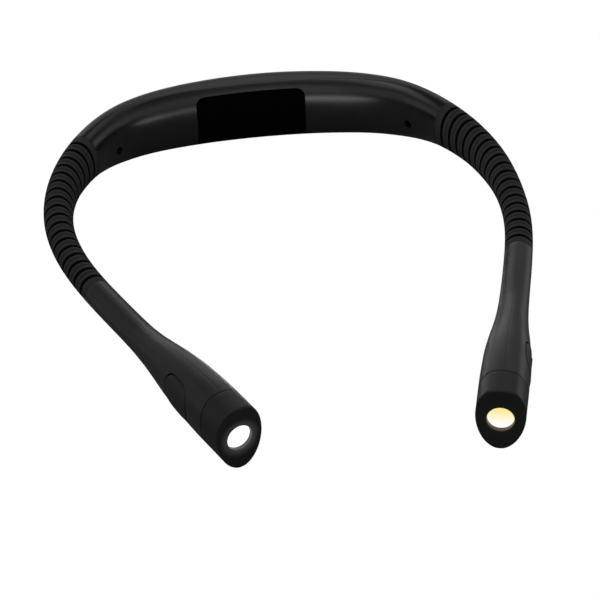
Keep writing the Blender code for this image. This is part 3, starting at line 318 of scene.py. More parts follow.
@dataclass
class CentreLine:
    """One arm's centre line, from the housing's middle to the lamp's face."""

    form: LightForm
    side: Side
    samples: int = 1440
    end_margin: float = 1e-6

    def __post_init__(self) -> None:
        """Walk along the headings and keep every sample's place in plan."""
        form = self.form
        turns = form.sleeve_turns[self.side]
        lengths = [form.housing_half / 2] * 2 + [form.sleeve_length / len(turns)] * len(turns)
        lengths.append(form.head_length)
        self.stations = [0.0]
        self.headings = [0.0]
        for length, turn in zip(lengths, (*form.housing_turns, *turns, form.head_turns[self.side])):
            self.stations.append(self.stations[-1] + length)
            self.headings.append(self.headings[-1] + turn)
        self.step = self.stations[-1] / self.samples
        self.places = [Vector((0.0, 0.0))]
        for index in range(self.samples):
            heading = math.radians(self.heading((index + 0.5) * self.step))
            move = Vector((math.cos(heading), -math.sin(heading))) * self.step
            self.places.append(self.places[-1] + move)

    def slope(self, index: int) -> float:
        """Rate of turn at one of the stations; both arms leave the housing alike."""
        if index == len(self.form.housing_turns):
            return self.form.housing_end_bend
        before, after = max(index - 1, 0), min(index + 1, len(self.stations) - 1)
        turn = self.headings[after] - self.headings[before]
        return turn / (self.stations[after] - self.stations[before])

    def heading(self, station: float) -> float:
        """Heading at a station, in degrees."""
        last = len(self.stations) - 1
        index = next((i for i in range(1, last) if station < self.stations[i]), last) - 1
        span = self.stations[index + 1] - self.stations[index]
        part = (station - self.stations[index]) / span
        return hermite(self.headings[index], self.headings[index + 1], self.slope(index) * span,
                       self.slope(index + 1) * span, part)

    def frame(self, station: float) -> tuple[Vector, Vector, Vector]:
        """Point and directions of the line at a station.

        Args:
            station: Distance along the line; below zero it lies in the other half of the housing.

        Returns:
            The point, the direction away from the housing and the direction away from the neck.
        """
        mirror = -1 if station < 0 else 1
        place = min(abs(station) / self.step, self.samples - self.end_margin)
        low = int(place)
        flat = self.places[low].lerp(self.places[low + 1], place - low)
        heading = math.radians(self.heading(min(abs(station), self.stations[-1])))
        sign = self.side.sign
        point = Vector((sign * mirror * flat.x, flat.y, self.form.axis_height(station)))
        along = Vector((math.cos(heading) * sign, -math.sin(heading) * mirror, 0.0))
        outward = Vector((math.sin(heading) * sign * mirror, math.cos(heading), 0.0))
        return point, along, outward

    def ring(self, station: float, places: Iterable[Place]) -> list[Vector]:
        """World points of section points.

        Args:
            station: Distance along the line.
            places: Offsets and rises.

        Returns:
            The points.
        """
        centre, _, outward = self.frame(station)
        return [centre + outward * offset + Vector((0.0, 0.0, rise)) for offset, rise in places]

    def point(self, station: float, offset: float = 0.0, rise: float = 0.0) -> Vector:
        """World position of one section point."""
        return self.ring(station, [(offset, rise)])[0]

    def matrix(self, station: float, offset: float = 0.0, rise: float = 0.0,
               axis: Axis = Axis.ALONG) -> Matrix:
        """Placement at a section point.

        Args:
            station: Distance along the line.
            offset: Distance away from the neck.
            rise: Height above the line.
            axis: Which way the local Z runs.

        Returns:
            The placement.
        """
        _, along, outward = self.frame(station)
        up = Vector((0.0, 0.0, 1.0))
        ways = {Axis.ALONG: (along, outward), Axis.OUTWARD: (outward, up), Axis.UP: (up, along)}
        z_axis, x_axis = ways[axis]
        turned = Matrix((x_axis, z_axis.cross(x_axis), z_axis)).transposed().to_4x4()
        return Matrix.Translation(self.point(station, offset, rise)) @ turned


def join_rows(mesh: bmesh.types.BMesh, rows: list[list[bmesh.types.BMVert]], round_rows: bool) -> None:
    """Skin closed rings of vertices with quads.

    Args:
        mesh: Mesh that holds the vertices.
        rows: Rings of equal length.
        round_rows: Whether the last ring joins the first one.
    """
    for low, high in zip(rows, rows[1:] + rows[:1] if round_rows else rows[1:]):
        for index, _ in enumerate(low):
            after = (index + 1) % len(low)
            mesh.faces.new((low[index], low[after], high[after], high[index]))


def loft(rings: Sequence[Sequence[Vector]], capped: bool = True) -> bmesh.types.BMesh:
    """Skin closed rings of points.

    Args:
        rings: Rings of equal length.
        capped: Whether both ends are flat faces; otherwise the last ring joins the first one.

    Returns:
        The mesh.
    """
    mesh = bmesh.new()
    rows = [[mesh.verts.new(point) for point in ring] for ring in rings]
    join_rows(mesh, rows, not capped)
    if capped:
        mesh.faces.new(rows[0])
        mesh.faces.new(rows[-1])
    return mesh


def lathe(profile: Sequence[Place], placement: Matrix, sides: int) -> bmesh.types.BMesh:
    """Turn a closed profile round the placement's local Z.

    Args:
        profile: Points of (radius, distance along the axis).
        placement: Where the turned piece goes.
        sides: Number of sides.

    Returns:
        The mesh.
    """
    mesh = bmesh.new()
    angles = [2 * math.pi * index / sides for index in range(sides)]
    circle = [(math.cos(angle), math.sin(angle)) for angle in angles]
    rings = []
    for radius, along in profile:
        if radius:
            rings.append([mesh.verts.new((radius * x, radius * y, along)) for x, y in circle])
        else:
            rings.append([mesh.verts.new((0.0, 0.0, along))] * sides)
    for low, high in zip(rings, rings[1:] + rings[:1]):
        for index in range(sides):
            after = (index + 1) % sides
            corners = list(dict.fromkeys((low[index], low[after], high[after], high[index])))
            if len(corners) > 2:
                mesh.faces.new(corners)
    mesh.transform(placement)
    return mesh


def bar(diameter: float, low: float, high: float, placement: Matrix) -> bmesh.types.BMesh:
    """Round bar between two distances along the placement's local Z."""
    return lathe([(0.0, low), (diameter / 2, low), (diameter / 2, high), (0.0, high)], placement, BAR_SIDES)


def round_over(radius: float, steps: int = 4) -> list[Place]:
    """Quarter circle of an edge.

    Args:
        radius: Radius of the edge.
        steps: Number of straight pieces.

    Returns:
        Pairs of (distance from the edge, depth below the surface), from the surface to the edge.
    """
    angles = [math.radians(angle) for angle in spread(0.0, 90.0, steps)]
    return [(radius * (1 - math.sin(angle)), radius * (1 - math.cos(angle))) for angle in angles]


def linked(name: str, data: bpy.types.ID) -> bpy.types.Object:
    """Link data to the scene as a new object.

    Args:
        name: Name of the object.
        data: Its mesh, lamp or camera.

    Returns:
        The object, at the origin.
    """
    made = bpy.data.objects.new(name, data)
    bpy.context.scene.collection.objects.link(made)
    return made


def raw_object(name: str, mesh: bmesh.types.BMesh) -> bpy.types.Object:
    """Link a mesh as an object at the origin.

    Args:
        name: Name of the piece.
        mesh: Its mesh, which is used up.

    Returns:
        The object.
    """
    bmesh.ops.remove_doubles(mesh, verts=mesh.verts, dist=WELD_DISTANCE)
    bmesh.ops.recalc_face_normals(mesh, faces=mesh.faces)
    data = bpy.data.meshes.new(name)
    mesh.to_mesh(data)
    mesh.free()
    return linked(name, data)


def carve(target: bpy.types.Object, tool: bmesh.types.BMesh, operation: str = "DIFFERENCE") -> None:
    """Cut a tool from a piece, or join it.

    Args:
        target: The piece, whose mesh is replaced by the result.
        tool: The tool's mesh, which is used up.
        operation: Name of the operation.
    """
    cutter = raw_object("cutter", tool)
    step = target.modifiers.new("carve", "BOOLEAN")
    step.operation = operation
    step.solver = "EXACT"
    step.object = cutter
    result = plain_mesh(target)
    target.modifiers.clear()
    target.data = result
    bpy.data.objects.remove(cutter)


def plain_mesh(target: bpy.types.Object) -> bpy.types.Mesh:
    """Mesh of a piece with its modifiers applied."""
    bpy.context.view_layer.update()
    graph = bpy.context.evaluated_depsgraph_get()
    return bpy.data.meshes.new_from_object(target.evaluated_get(graph))


@dataclass(frozen=True)
class Mount:
    """What a finished piece moves with and stands for, and between which points it bends if it does."""

    body: str
    slot: str
    nodes: tuple[str, ...] = ()
    upper_body: str = ""
    bend: tuple[Vector, Vector] | None = None


def settle(piece: bpy.types.Object, finish: bpy.types.Material, mount: Mount, sharp: float = 32.0) -> None:
    """Shade a piece, give it its material and hang it on its body; a piece with bend points is not hung, and
    its placement is baked into its mesh instead.

    Args:
        piece: The piece, in place.
        finish: Its material.
        mount: Its body and the nodes that it stands for.
        sharp: Angle above which an edge stays crisp.
    """
    piece.data.materials.clear()
    piece.data.materials.append(finish)
    piece.data.shade_smooth()
    piece.data.set_sharp_from_angle(angle=math.radians(sharp))
    if mount.bend:
        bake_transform(piece)
    else:
        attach(piece, mount.body)
    if mount.nodes:
        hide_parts(*mount.nodes)
    LOG.info("%s: %d faces, on %s", piece.name, len(piece.data.polygons), mount.body)


@dataclass
class Graph:
    """Adds nodes to one node tree and joins their sockets."""

    tree: bpy.types.NodeTree

    def feed(self, node: bpy.types.Node, inputs: dict[Any, Any]) -> None:
        """Fill in the inputs of a node.

        Args:
            node: The node.
            inputs: Values or sockets by input name or number.
        """
        for key, value in inputs.items():
            if isinstance(value, bpy.types.NodeSocket):
                self.tree.links.new(value, node.inputs[key])
            else:
                node.inputs[key].default_value = value

    def add(self, kind: str, inputs: dict[Any, Any] | None = None, **settings: Any) -> bpy.types.Node:
        """Add a node.

        Args:
            kind: Type of the node.
            inputs: Values or sockets by input name or number.
            **settings: Properties of the node.

        Returns:
            The node.
        """
        node = self.tree.nodes.new(kind)
        for key, value in settings.items():
            setattr(node, key, value)
        self.feed(node, inputs or {})
        return node

    def place(self) -> bpy.types.NodeSocket:
        """Object coordinates of a material."""
        return self.add("ShaderNodeTexCoord").outputs["Object"]

    def level(self, place: bpy.types.NodeSocket) -> bpy.types.NodeSocket:
        """Height of a place."""
        return self.add("ShaderNodeSeparateXYZ", {0: place}).outputs[2]

    def math(self, operation: str, *values: Any) -> bpy.types.NodeSocket:
        """Output of a math node on values or sockets."""
        return self.add("ShaderNodeMath", dict(enumerate(values)), operation=operation).outputs[0]

    def vector(self, operation: str, *values: Any) -> bpy.types.NodeSocket:
        """Output of a vector math node on values or sockets."""
        return self.add("ShaderNodeVectorMath", dict(enumerate(values)), operation=operation).outputs[0]

    def measure(self, operation: str, *values: Any) -> bpy.types.NodeSocket:
        """Number that a vector math node gives, such as a distance or a dot product."""
        node = self.add("ShaderNodeVectorMath", dict(enumerate(values)), operation=operation)
        return node.outputs["Value"]

    def scaled(self, vector: bpy.types.NodeSocket, factor: Any) -> bpy.types.NodeSocket:
        """A vector times a number."""
        return self.add("ShaderNodeVectorMath", {0: vector, "Scale": factor}, operation="SCALE").outputs[0]

    def ramp(self, value: bpy.types.NodeSocket, source: Place, target: Place, smooth: bool = False) -> Any:
        """Value taken from one range to another.

        Args:
            value: Incoming value.
            source: Its low and high end, numbers or sockets.
            target: The outgoing low and high end, numbers or sockets.
            smooth: Whether the change eases in and out.

        Returns:
            The output socket.
        """
        inputs = dict(zip(("Value", "From Min", "From Max", "To Min", "To Max"), (value, *source, *target)))
        kind = "SMOOTHSTEP" if smooth else "LINEAR"
        return self.add("ShaderNodeMapRange", inputs, interpolation_type=kind).outputs[0]

    def noise(self, vector: bpy.types.NodeSocket, size: float, detail: float = 3.0) -> bpy.types.NodeSocket:
        """Noise whose grains have a size in metres."""
        inputs = {"Vector": vector, "Scale": 1 / size, "Detail": detail, "Roughness": NOISE_ROUGHNESS}
        return self.add("ShaderNodeTexNoise", inputs).outputs["Fac"]

    def mix(self, factor: Any, low: Any, high: Any) -> bpy.types.NodeSocket:
        """Colour between two colours or sockets."""
        # Inputs 6 and 7 and output 2 of a mix node are its colours.
        ends = [(*value, 1.0) if isinstance(value, tuple) else value for value in (low, high)]
        return self.add("ShaderNodeMix", {0: factor, 6: ends[0], 7: ends[1]}, data_type="RGBA").outputs[2]

    def emboss(self, shader: bpy.types.Node, height: bpy.types.NodeSocket, strength: float,
               depth: float) -> None:
        """Give a shader's surface a relief.

        Args:
            shader: The shader.
            height: Height of the relief, from 0 to 1.
            strength: How much of it is seen.
            depth: Its depth in metres.
        """
        bump = self.add("ShaderNodeBump", {"Height": height, "Strength": strength, "Distance": depth})
        self.feed(shader, {"Normal": bump.outputs[0]})


def tinted(colour: Colour, factor: float) -> Colour:
    """A colour made lighter or darker by a factor."""
    return tuple(channel * factor for channel in colour)


@dataclass(frozen=True)
class Finish:
    """Procedural material on object coordinates."""

    name: str

    def dress(self, graph: Graph, shader: bpy.types.Node) -> None:
        """Fill in the shader, each kind of finish in its own way.

        Args:
            graph: Graph of the material.
            shader: Its shader.
        """
        raise NotImplementedError

    def build(self) -> bpy.types.Material:
        """Make the material.

        Returns:
            The material.
        """
        made = bpy.data.materials.new(self.name)
        made.use_nodes = True
        self.dress(Graph(made.node_tree), made.node_tree.nodes["Principled BSDF"])
        return made


@dataclass(frozen=True)
class Moulded(Finish):
    """Moulded plastic or rubber: a fine eroded grain, slow colour changes and uneven gloss."""

    colour: Colour
    roughness: float
    grain: float = 0.00022
    relief: float = 0.000012
    mottle: float = 0.10
    gloss_change: float = 0.06
    specular: float = 0.5
    cloud_size: float = 0.018
    cloud_share: float = 0.6
    tone_limits: Place = (0.35, 0.65)
    bump_strength: float = 0.8

    def dress(self, graph: Graph, shader: bpy.types.Node) -> None:
        """Fill in the shader.

        Args:
            graph: Graph of the material.
            shader: Its shader.
        """
        place = graph.place()
        cloud = graph.noise(place, self.cloud_size, detail=2.0)
        speck = graph.noise(place, self.grain * 2, detail=2.0)
        tone = graph.math("ADD", graph.math("MULTIPLY", cloud, self.cloud_share),
                          graph.math("MULTIPLY", speck, 1 - self.cloud_share))
        low, high = tinted(self.colour, 1 - self.mottle), tinted(self.colour, 1 + self.mottle)
        gloss = self.roughness - self.gloss_change, self.roughness + self.gloss_change
        share = graph.ramp(tone, self.tone_limits, (0.0, 1.0))
        graph.feed(shader, {"Base Color": graph.mix(share, low, high),
                            "Roughness": graph.ramp(cloud, NOISE_MIDDLE, gloss),
                            "Specular IOR Level": self.specular})
        erosion = graph.noise(place, self.grain, detail=4.0)
        graph.emboss(shader, erosion, self.bump_strength, self.relief)


@dataclass(frozen=True)
class Ribbed(Moulded):
    """Moulded rubber with painted shade where a skin has been pressed in: darker there, and duller as well.
    """

    # Painted shade: colour mixed into the base colour where the skin is pressed in.
    groove_shade: Colour = BLACK
    dull: float = 1.0
    groove_shade_limits: Place = (0.02, 0.24)

    def dress(self, graph: Graph, shader: bpy.types.Node) -> None:
        """Fill in the shader.

        Args:
            graph: Graph of the material.
            shader: Its shader.
        """
        super().dress(graph, shader)
        pressed = graph.add("ShaderNodeAttribute", attribute_name="pressed").outputs["Fac"]
        base, rough = (shader.inputs[name].links[0].from_socket for name in ("Base Color", "Roughness"))
        share = graph.ramp(pressed, self.groove_shade_limits, (0.0, 1.0))
        # Painted shade in the grooves and along the fine lines: the base colour is mixed towards the groove
        # shade by how deep the skin is pressed.
        graph.feed(shader, {"Base Color": graph.mix(share, base, self.groove_shade),
                            "Roughness": graph.ramp(share, (0.0, 1.0), (rough, self.dull))})


@dataclass(frozen=True)
class LampLight:
    """What a lit lamp looks like: its lens, and the painted glow of its stray light on the face and on the
    rim of its opening.
    """

    upper: Colour
    lower: Colour
    strength: float
    # Painted glow: emission colour and strength on the cap's face round the opening.
    glow: Colour
    glow_strength: float
    # Painted light: emission colour on the opening's eased rim.
    rim: Colour


@dataclass(frozen=True)
class LitFace(Finish):
    """Moulded plastic of a lamp cap, with the stray light of its lens painted as a glow in the opening and on
    the face.
    """

    plastic: Moulded
    centre: Vector
    light: LampLight
    opening: float
    reach: float = 0.0030
    rim_glow_limits: Place = (1.045, 1.06)

    def dress(self, graph: Graph, shader: bpy.types.Node) -> None:
        """Fill in the shader.

        Args:
            graph: Graph of the material.
            shader: Its shader.
        """
        self.plastic.dress(graph, shader)
        distance = graph.measure("DISTANCE", graph.place(), self.centre)
        near = graph.ramp(distance, (self.opening, self.opening + self.reach), (1.0, 0.0), smooth=True)
        face = graph.mix(near, BLACK, tinted(self.light.glow, self.light.glow_strength))
        edge = tuple(self.opening * share for share in self.rim_glow_limits)
        inside = graph.ramp(distance, edge, (1.0, 0.0))
        # Painted light: emission of the glow colour on the face near the opening and of the rim colour on its
        # eased edge, standing in for the lens's light on the cap.
        graph.feed(shader, {"Emission Color": graph.mix(inside, face, self.light.rim),
                            "Emission Strength": 1.0})


@dataclass(frozen=True)
class Metal(Finish):
    """Metal with fine drawn streaks and slight tarnish."""

    colour: Colour
    roughness: float
    streak: float = 0.0003
    stretch: tuple[float, float, float] = (1.0, 1.0, 0.12)
    tarnish_size: float = 0.004
    tarnish: Place = (0.82, 1.08)
    gloss_change: Place = (-0.08, 0.10)
    relief: float = 0.000008
    bump_strength: float = 0.5

    def dress(self, graph: Graph, shader: bpy.types.Node) -> None:
        """Fill in the shader.

        Args:
            graph: Graph of the material.
            shader: Its shader.
        """
        place = graph.place()
        drawn = graph.add("ShaderNodeMapping", {"Vector": place, "Scale": self.stretch}).outputs[0]
        lines = graph.noise(drawn, self.streak)
        cloud = graph.noise(place, self.tarnish_size, detail=2.0)
        low, high = (tinted(self.colour, factor) for factor in self.tarnish)
        gloss = tuple(self.roughness + change for change in self.gloss_change)
        graph.feed(shader, {"Base Color": graph.mix(cloud, low, high),
                            "Roughness": graph.ramp(lines, NOISE_MIDDLE, gloss), "Metallic": 1.0})
        graph.emboss(shader, lines, self.bump_strength, self.relief)


@dataclass(frozen=True)
class GlowingLens(Finish):
    """Frosted lens lit from behind, brighter towards its lower rim."""

    light: LampLight
    centre: Vector
    radius: float
    frost_size: float = 0.0004
    frost_change: float = 0.08
    dark_share: float = 0.93
    roughness: float = 0.35
    relief: float = 0.00002
    bump_strength: float = 0.4

    def dress(self, graph: Graph, shader: bpy.types.Node) -> None:
        """Fill in the shader.

        Args:
            graph: Graph of the material.
            shader: Its shader.
        """
        place = graph.place()
        low, high = self.centre.z - self.radius, self.centre.z + self.radius
        fall = graph.ramp(graph.level(place), (low, high), (0.0, 1.0), smooth=True)
        frost = graph.noise(place, self.frost_size)
        change = graph.math("MULTIPLY", graph.math("SUBTRACT", frost, 0.5), self.frost_change)
        colour = graph.mix(graph.math("ADD", fall, change), self.light.lower, self.light.upper)
        graph.feed(shader, {"Base Color": graph.mix(self.dark_share, colour, BLACK),
                            "Emission Color": colour, "Emission Strength": self.light.strength,
                            "Roughness": self.roughness})
        graph.emboss(shader, frost, self.bump_strength, self.relief)


@dataclass(frozen=True)
class CircuitBoard(Finish):
    """Lacquered board with copper tracks under the lacquer and bare pads."""

    lacquer: Colour = (0.012, 0.085, 0.035)
    track: Colour = (0.03, 0.17, 0.07)
    pad: Colour = (0.75, 0.62, 0.35)
    pitch: float = 0.0016
    track_gap: float = 0.12
    track_cell: Place = (1.7, 0.5)
    pad_density: float = 0.4
    pad_limits: Place = (0.10, 0.13)
    pad_metal: float = 0.9
    roughness: float = 0.32
    relief: float = 0.00003
    bump_strength: float = 0.4

    def dress(self, graph: Graph, shader: bpy.types.Node) -> None:
        """Fill in the shader.

        Args:
            graph: Graph of the material.
            shader: Its shader.
        """
        place = graph.place()
        length, width = self.track_cell
        cells = graph.add("ShaderNodeTexBrick", {
            "Vector": place, "Scale": 1 / self.pitch, "Mortar Size": self.track_gap, "Brick Width": length,
            "Row Height": width}).outputs["Fac"]
        dots = graph.add("ShaderNodeTexVoronoi", {
            "Vector": place, "Scale": self.pad_density / self.pitch}).outputs["Distance"]
        bare = graph.ramp(dots, self.pad_limits, (1.0, 0.0))
        base = graph.mix(cells, self.track, self.lacquer)
        graph.feed(shader, {"Base Color": graph.mix(bare, base, self.pad), "Roughness": self.roughness,
                            "Metallic": graph.math("MULTIPLY", bare, self.pad_metal)})
        graph.emboss(shader, cells, self.bump_strength, self.relief)


@dataclass(frozen=True)
class Foil(Finish):
    """Crinkled foil of a pouch cell, with a band of tape round its middle."""

    colour: Colour = (0.62, 0.64, 0.66)
    tape: Colour = (0.55, 0.40, 0.06)
    tape_middle: float = 0.0136
    tape_half: float = 0.0030
    tape_edge: float = 0.0002
    crease_density: float = 260.0
    crease_share: float = 0.6
    wrinkle: float = 0.003
    metal: float = 0.9
    roughness: float = 0.34
    relief: float = 0.00015
    bump_strength: float = 0.6

    def dress(self, graph: Graph, shader: bpy.types.Node) -> None:
        """Fill in the shader.

        Args:
            graph: Graph of the material.
            shader: Its shader.
        """
        place = graph.place()
        creases = graph.add("ShaderNodeTexVoronoi", {"Vector": place, "Scale": self.crease_density},
                            feature="DISTANCE_TO_EDGE").outputs["Distance"]
        height = graph.math("ADD", graph.math("MULTIPLY", creases, self.crease_share),
                            graph.noise(place, self.wrinkle, detail=4.0))
        away = graph.math("ABSOLUTE", graph.math("SUBTRACT", graph.level(place), self.tape_middle))
        taped = graph.ramp(away, (self.tape_half, self.tape_half + self.tape_edge), (1.0, 0.0))
        graph.feed(shader, {"Base Color": graph.mix(taped, self.colour, self.tape),
                            "Metallic": graph.ramp(taped, (0.0, 1.0), (self.metal, 0.0)),
                            "Roughness": self.roughness})
        graph.emboss(shader, height, self.bump_strength, self.relief)


@dataclass(frozen=True)
class ClearPlastic(Finish):
    """Clear moulded light pipe with a faintly frosted end."""

    colour: Colour = (0.86, 0.88, 0.88)
    shade: float = 0.94
    frost_size: float = 0.0003
    gloss: Place = (0.12, 0.32)
    transmission: float = 0.7
    relief: float = 0.00001
    bump_strength: float = 0.3

    def dress(self, graph: Graph, shader: bpy.types.Node) -> None:
        """Fill in the shader.

        Args:
            graph: Graph of the material.
            shader: Its shader.
        """
        frost = graph.noise(graph.place(), self.frost_size)
        graph.feed(shader, {"Roughness": graph.ramp(frost, NOISE_MIDDLE, self.gloss),
                            "Base Color": graph.mix(frost, tinted(self.colour, self.shade), self.colour),
                            "Transmission Weight": self.transmission})
        graph.emboss(shader, frost, self.bump_strength, self.relief)


def new_tree(name: str, inputs: Sequence[tuple[str, str]]) -> tuple[Graph, bpy.types.Node, bpy.types.Node]:
    """Geometry tree with named inputs.

    Args:
        name: Name of the tree.
        inputs: Names and socket types of the inputs after the geometry.

    Returns:
        The graph, its input node and its output node.
    """
    tree = bpy.data.node_groups.new(name, "GeometryNodeTree")
    tree.interface.new_socket("Geometry", in_out="INPUT", socket_type="NodeSocketGeometry")
    for label, kind in inputs:
        tree.interface.new_socket(label, in_out="INPUT", socket_type=kind)
    tree.interface.new_socket("Geometry", in_out="OUTPUT", socket_type="NodeSocketGeometry")
    graph = Graph(tree)
    return graph, graph.add("NodeGroupInput"), graph.add("NodeGroupOutput")


def close_tree(graph: Graph, shape: bpy.types.NodeSocket, given: bpy.types.Node, end: bpy.types.Node) -> None:
    """End a geometry tree in Realize Instances and Set Material.

    Args:
        graph: Graph of the tree.
        shape: Geometry so far.
        given: Input node, with a Finish socket.
        end: Output node.
    """
    real = graph.add("GeometryNodeRealizeInstances", {0: shape}).outputs[0]
    dressed = graph.add("GeometryNodeSetMaterial", {"Geometry": real, "Material": given.outputs["Finish"]})
    graph.tree.links.new(dressed.outputs[0], end.inputs[0])


def run_tree(piece: bpy.types.Object, tree: bpy.types.NodeTree, values: dict[str, Any]) -> None:
    """Run a geometry tree on a piece and keep the result as its plain mesh.

    Args:
        piece: The piece, whose mesh is replaced.
        tree: The tree.
        values: Values of the named inputs.
    """
    step = piece.modifiers.new(tree.name, "NODES")
    step.node_group = tree
    sockets = {item.name: item.identifier for item in tree.interface.items_tree if item.in_out == "INPUT"}
    for label, value in values.items():
        step[sockets[label]] = value
    result = plain_mesh(piece)
    piece.modifiers.clear()
    piece.data = result


def rib_tree() -> bpy.types.NodeTree:
    """Tree that presses ring grooves, and a fine line between them, into a skin that knows its stations, and
    stores how deep each point is pressed for the painted shade of the sleeve's finish.
    """
    graph, given, end = new_tree("sleeve_ribs", [
        ("First Groove", "NodeSocketFloat"), ("Pitch", "NodeSocketFloat"), ("Grooves", "NodeSocketInt"),
        ("Groove Width", "NodeSocketFloat"), ("Groove Depth", "NodeSocketFloat"),
        ("Line Width", "NodeSocketFloat"), ("Line Depth", "NodeSocketFloat"),
        ("Finish", "NodeSocketMaterial")])
    station = graph.add("GeometryNodeInputNamedAttribute", {"Name": "station"}, data_type="FLOAT").outputs[0]
    pitch = given.outputs["Pitch"]
    past = graph.math("SUBTRACT", station, given.outputs["First Groove"])
    phase = graph.math("DIVIDE", past, pitch)

    def pressed(shift: float, fewer: float, width: Any, depth: Any, bottom: float) -> bpy.types.NodeSocket:
        """Depth of the nearest ring.

        Args:
            shift: Share of a pitch by which the rings are moved.
            fewer: How many rings fewer than grooves there are.
            width: Width of a ring.
            depth: Depth of a ring.
            bottom: Share of the half width that is flat.

        Returns:
            The depth at a point.
        """
        last = graph.math("SUBTRACT", given.outputs["Grooves"], fewer)
        moved = graph.math("ROUND", graph.math("SUBTRACT", phase, shift))
        nearest = graph.math("MINIMUM", graph.math("MAXIMUM", moved, 0.0), last)
        middle = graph.math("MULTIPLY", graph.math("ADD", nearest, shift), pitch)
        away = graph.math("ABSOLUTE", graph.math("SUBTRACT", past, middle))
        half = graph.math("MULTIPLY", width, 0.5)
        return graph.ramp(away, (graph.math("MULTIPLY", half, bottom), half), (depth, 0.0), smooth=True)

    groove = pressed(0.0, 1.0, given.outputs["Groove Width"], given.outputs["Groove Depth"], 0.5)
    line = pressed(0.5, 2.0, given.outputs["Line Width"], given.outputs["Line Depth"], 0.0)
    normal = graph.add("GeometryNodeInputNormal").outputs[0]
    depth = graph.math("MULTIPLY", graph.math("ADD", groove, line), -1.0)
    moved = graph.add("GeometryNodeSetPosition", {
        "Geometry": given.outputs[0], "Offset": graph.scaled(normal, depth)})
    # The stored share sets the painted shade: full in a groove, a fainter share along the fine line.
    share = graph.math("DIVIDE", groove, given.outputs["Groove Depth"])
    tone = graph.math("DIVIDE", line, given.outputs["Line Depth"])
    faint = graph.math("MULTIPLY", tone, FINE_LINE_SHADE)
    marked = graph.add("GeometryNodeStoreNamedAttribute", {
        "Geometry": moved.outputs[0], "Name": "pressed", "Value": graph.math("MAXIMUM", share, faint)},
        data_type="FLOAT", domain="POINT")
    close_tree(graph, marked.outputs[0], given, end)
    return graph.tree


def winding_tree() -> bpy.types.NodeTree:
    """Tree that winds a round wire along a path, as the core of a bendable arm is wound."""
    graph, given, end = new_tree("wound_core", [
        ("Turns", "NodeSocketFloat"), ("Points", "NodeSocketInt"), ("Winding Radius", "NodeSocketFloat"),
        ("Wire Radius", "NodeSocketFloat"), ("Finish", "NodeSocketMaterial")])
    path = graph.add("GeometryNodeMeshToCurve", {0: given.outputs[0]}).outputs[0]
    fine = graph.add("GeometryNodeResampleCurve", {
        "Curve": path, "Count": given.outputs["Points"]}).outputs[0]
    part = graph.add("GeometryNodeSplineParameter").outputs["Factor"]
    angle = graph.math("MULTIPLY", graph.math("MULTIPLY", part, given.outputs["Turns"]), 2 * math.pi)
    tangent = graph.add("GeometryNodeInputTangent").outputs[0]
    up = (0.0, 0.0, 1.0)
    across = graph.vector("CROSS_PRODUCT", tangent, up)
    radius = given.outputs["Winding Radius"]
    aside = graph.scaled(across, graph.math("MULTIPLY", graph.math("COSINE", angle), radius))
    above = graph.scaled(graph.vector("CROSS_PRODUCT", across, tangent),
                         graph.math("MULTIPLY", graph.math("SINE", angle), radius))
    wound = graph.add("GeometryNodeSetPosition", {
        "Geometry": fine, "Offset": graph.vector("ADD", aside, above)})
    ring = graph.add("GeometryNodeCurvePrimitiveCircle", {
        "Resolution": WOUND_WIRE_SIDES, "Radius": given.outputs["Wire Radius"]})
    mesh = graph.add("GeometryNodeCurveToMesh", {0: wound.outputs[0], 1: ring.outputs[0], "Fill Caps": True})
    close_tree(graph, mesh.outputs[0], given, end)
    return graph.tree


def placed_tree() -> bpy.types.NodeTree:
    """Tree that puts a copy of one part on each point, turned as the point says."""
    graph, given, end = new_tree("placed_parts", [
        ("Part", "NodeSocketObject"), ("Finish", "NodeSocketMaterial")])
    part = graph.add("GeometryNodeObjectInfo", {"Object": given.outputs["Part"]}).outputs["Geometry"]
    facing = graph.add("GeometryNodeInputNamedAttribute", {"Name": "facing"},
                       data_type="FLOAT_VECTOR").outputs[0]
    turn = graph.add("FunctionNodeAlignRotationToVector", {"Vector": facing}, axis="Z").outputs[0]
    copies = graph.add("GeometryNodeInstanceOnPoints", {"Points": given.outputs[0], "Instance": part,
                                                        "Rotation": turn}).outputs[0]
    close_tree(graph, copies, given, end)
    return graph.tree


SATIN = {"grain": 0.00026, "relief": 0.000005, "mottle": 0.06, "gloss_change": 0.05}


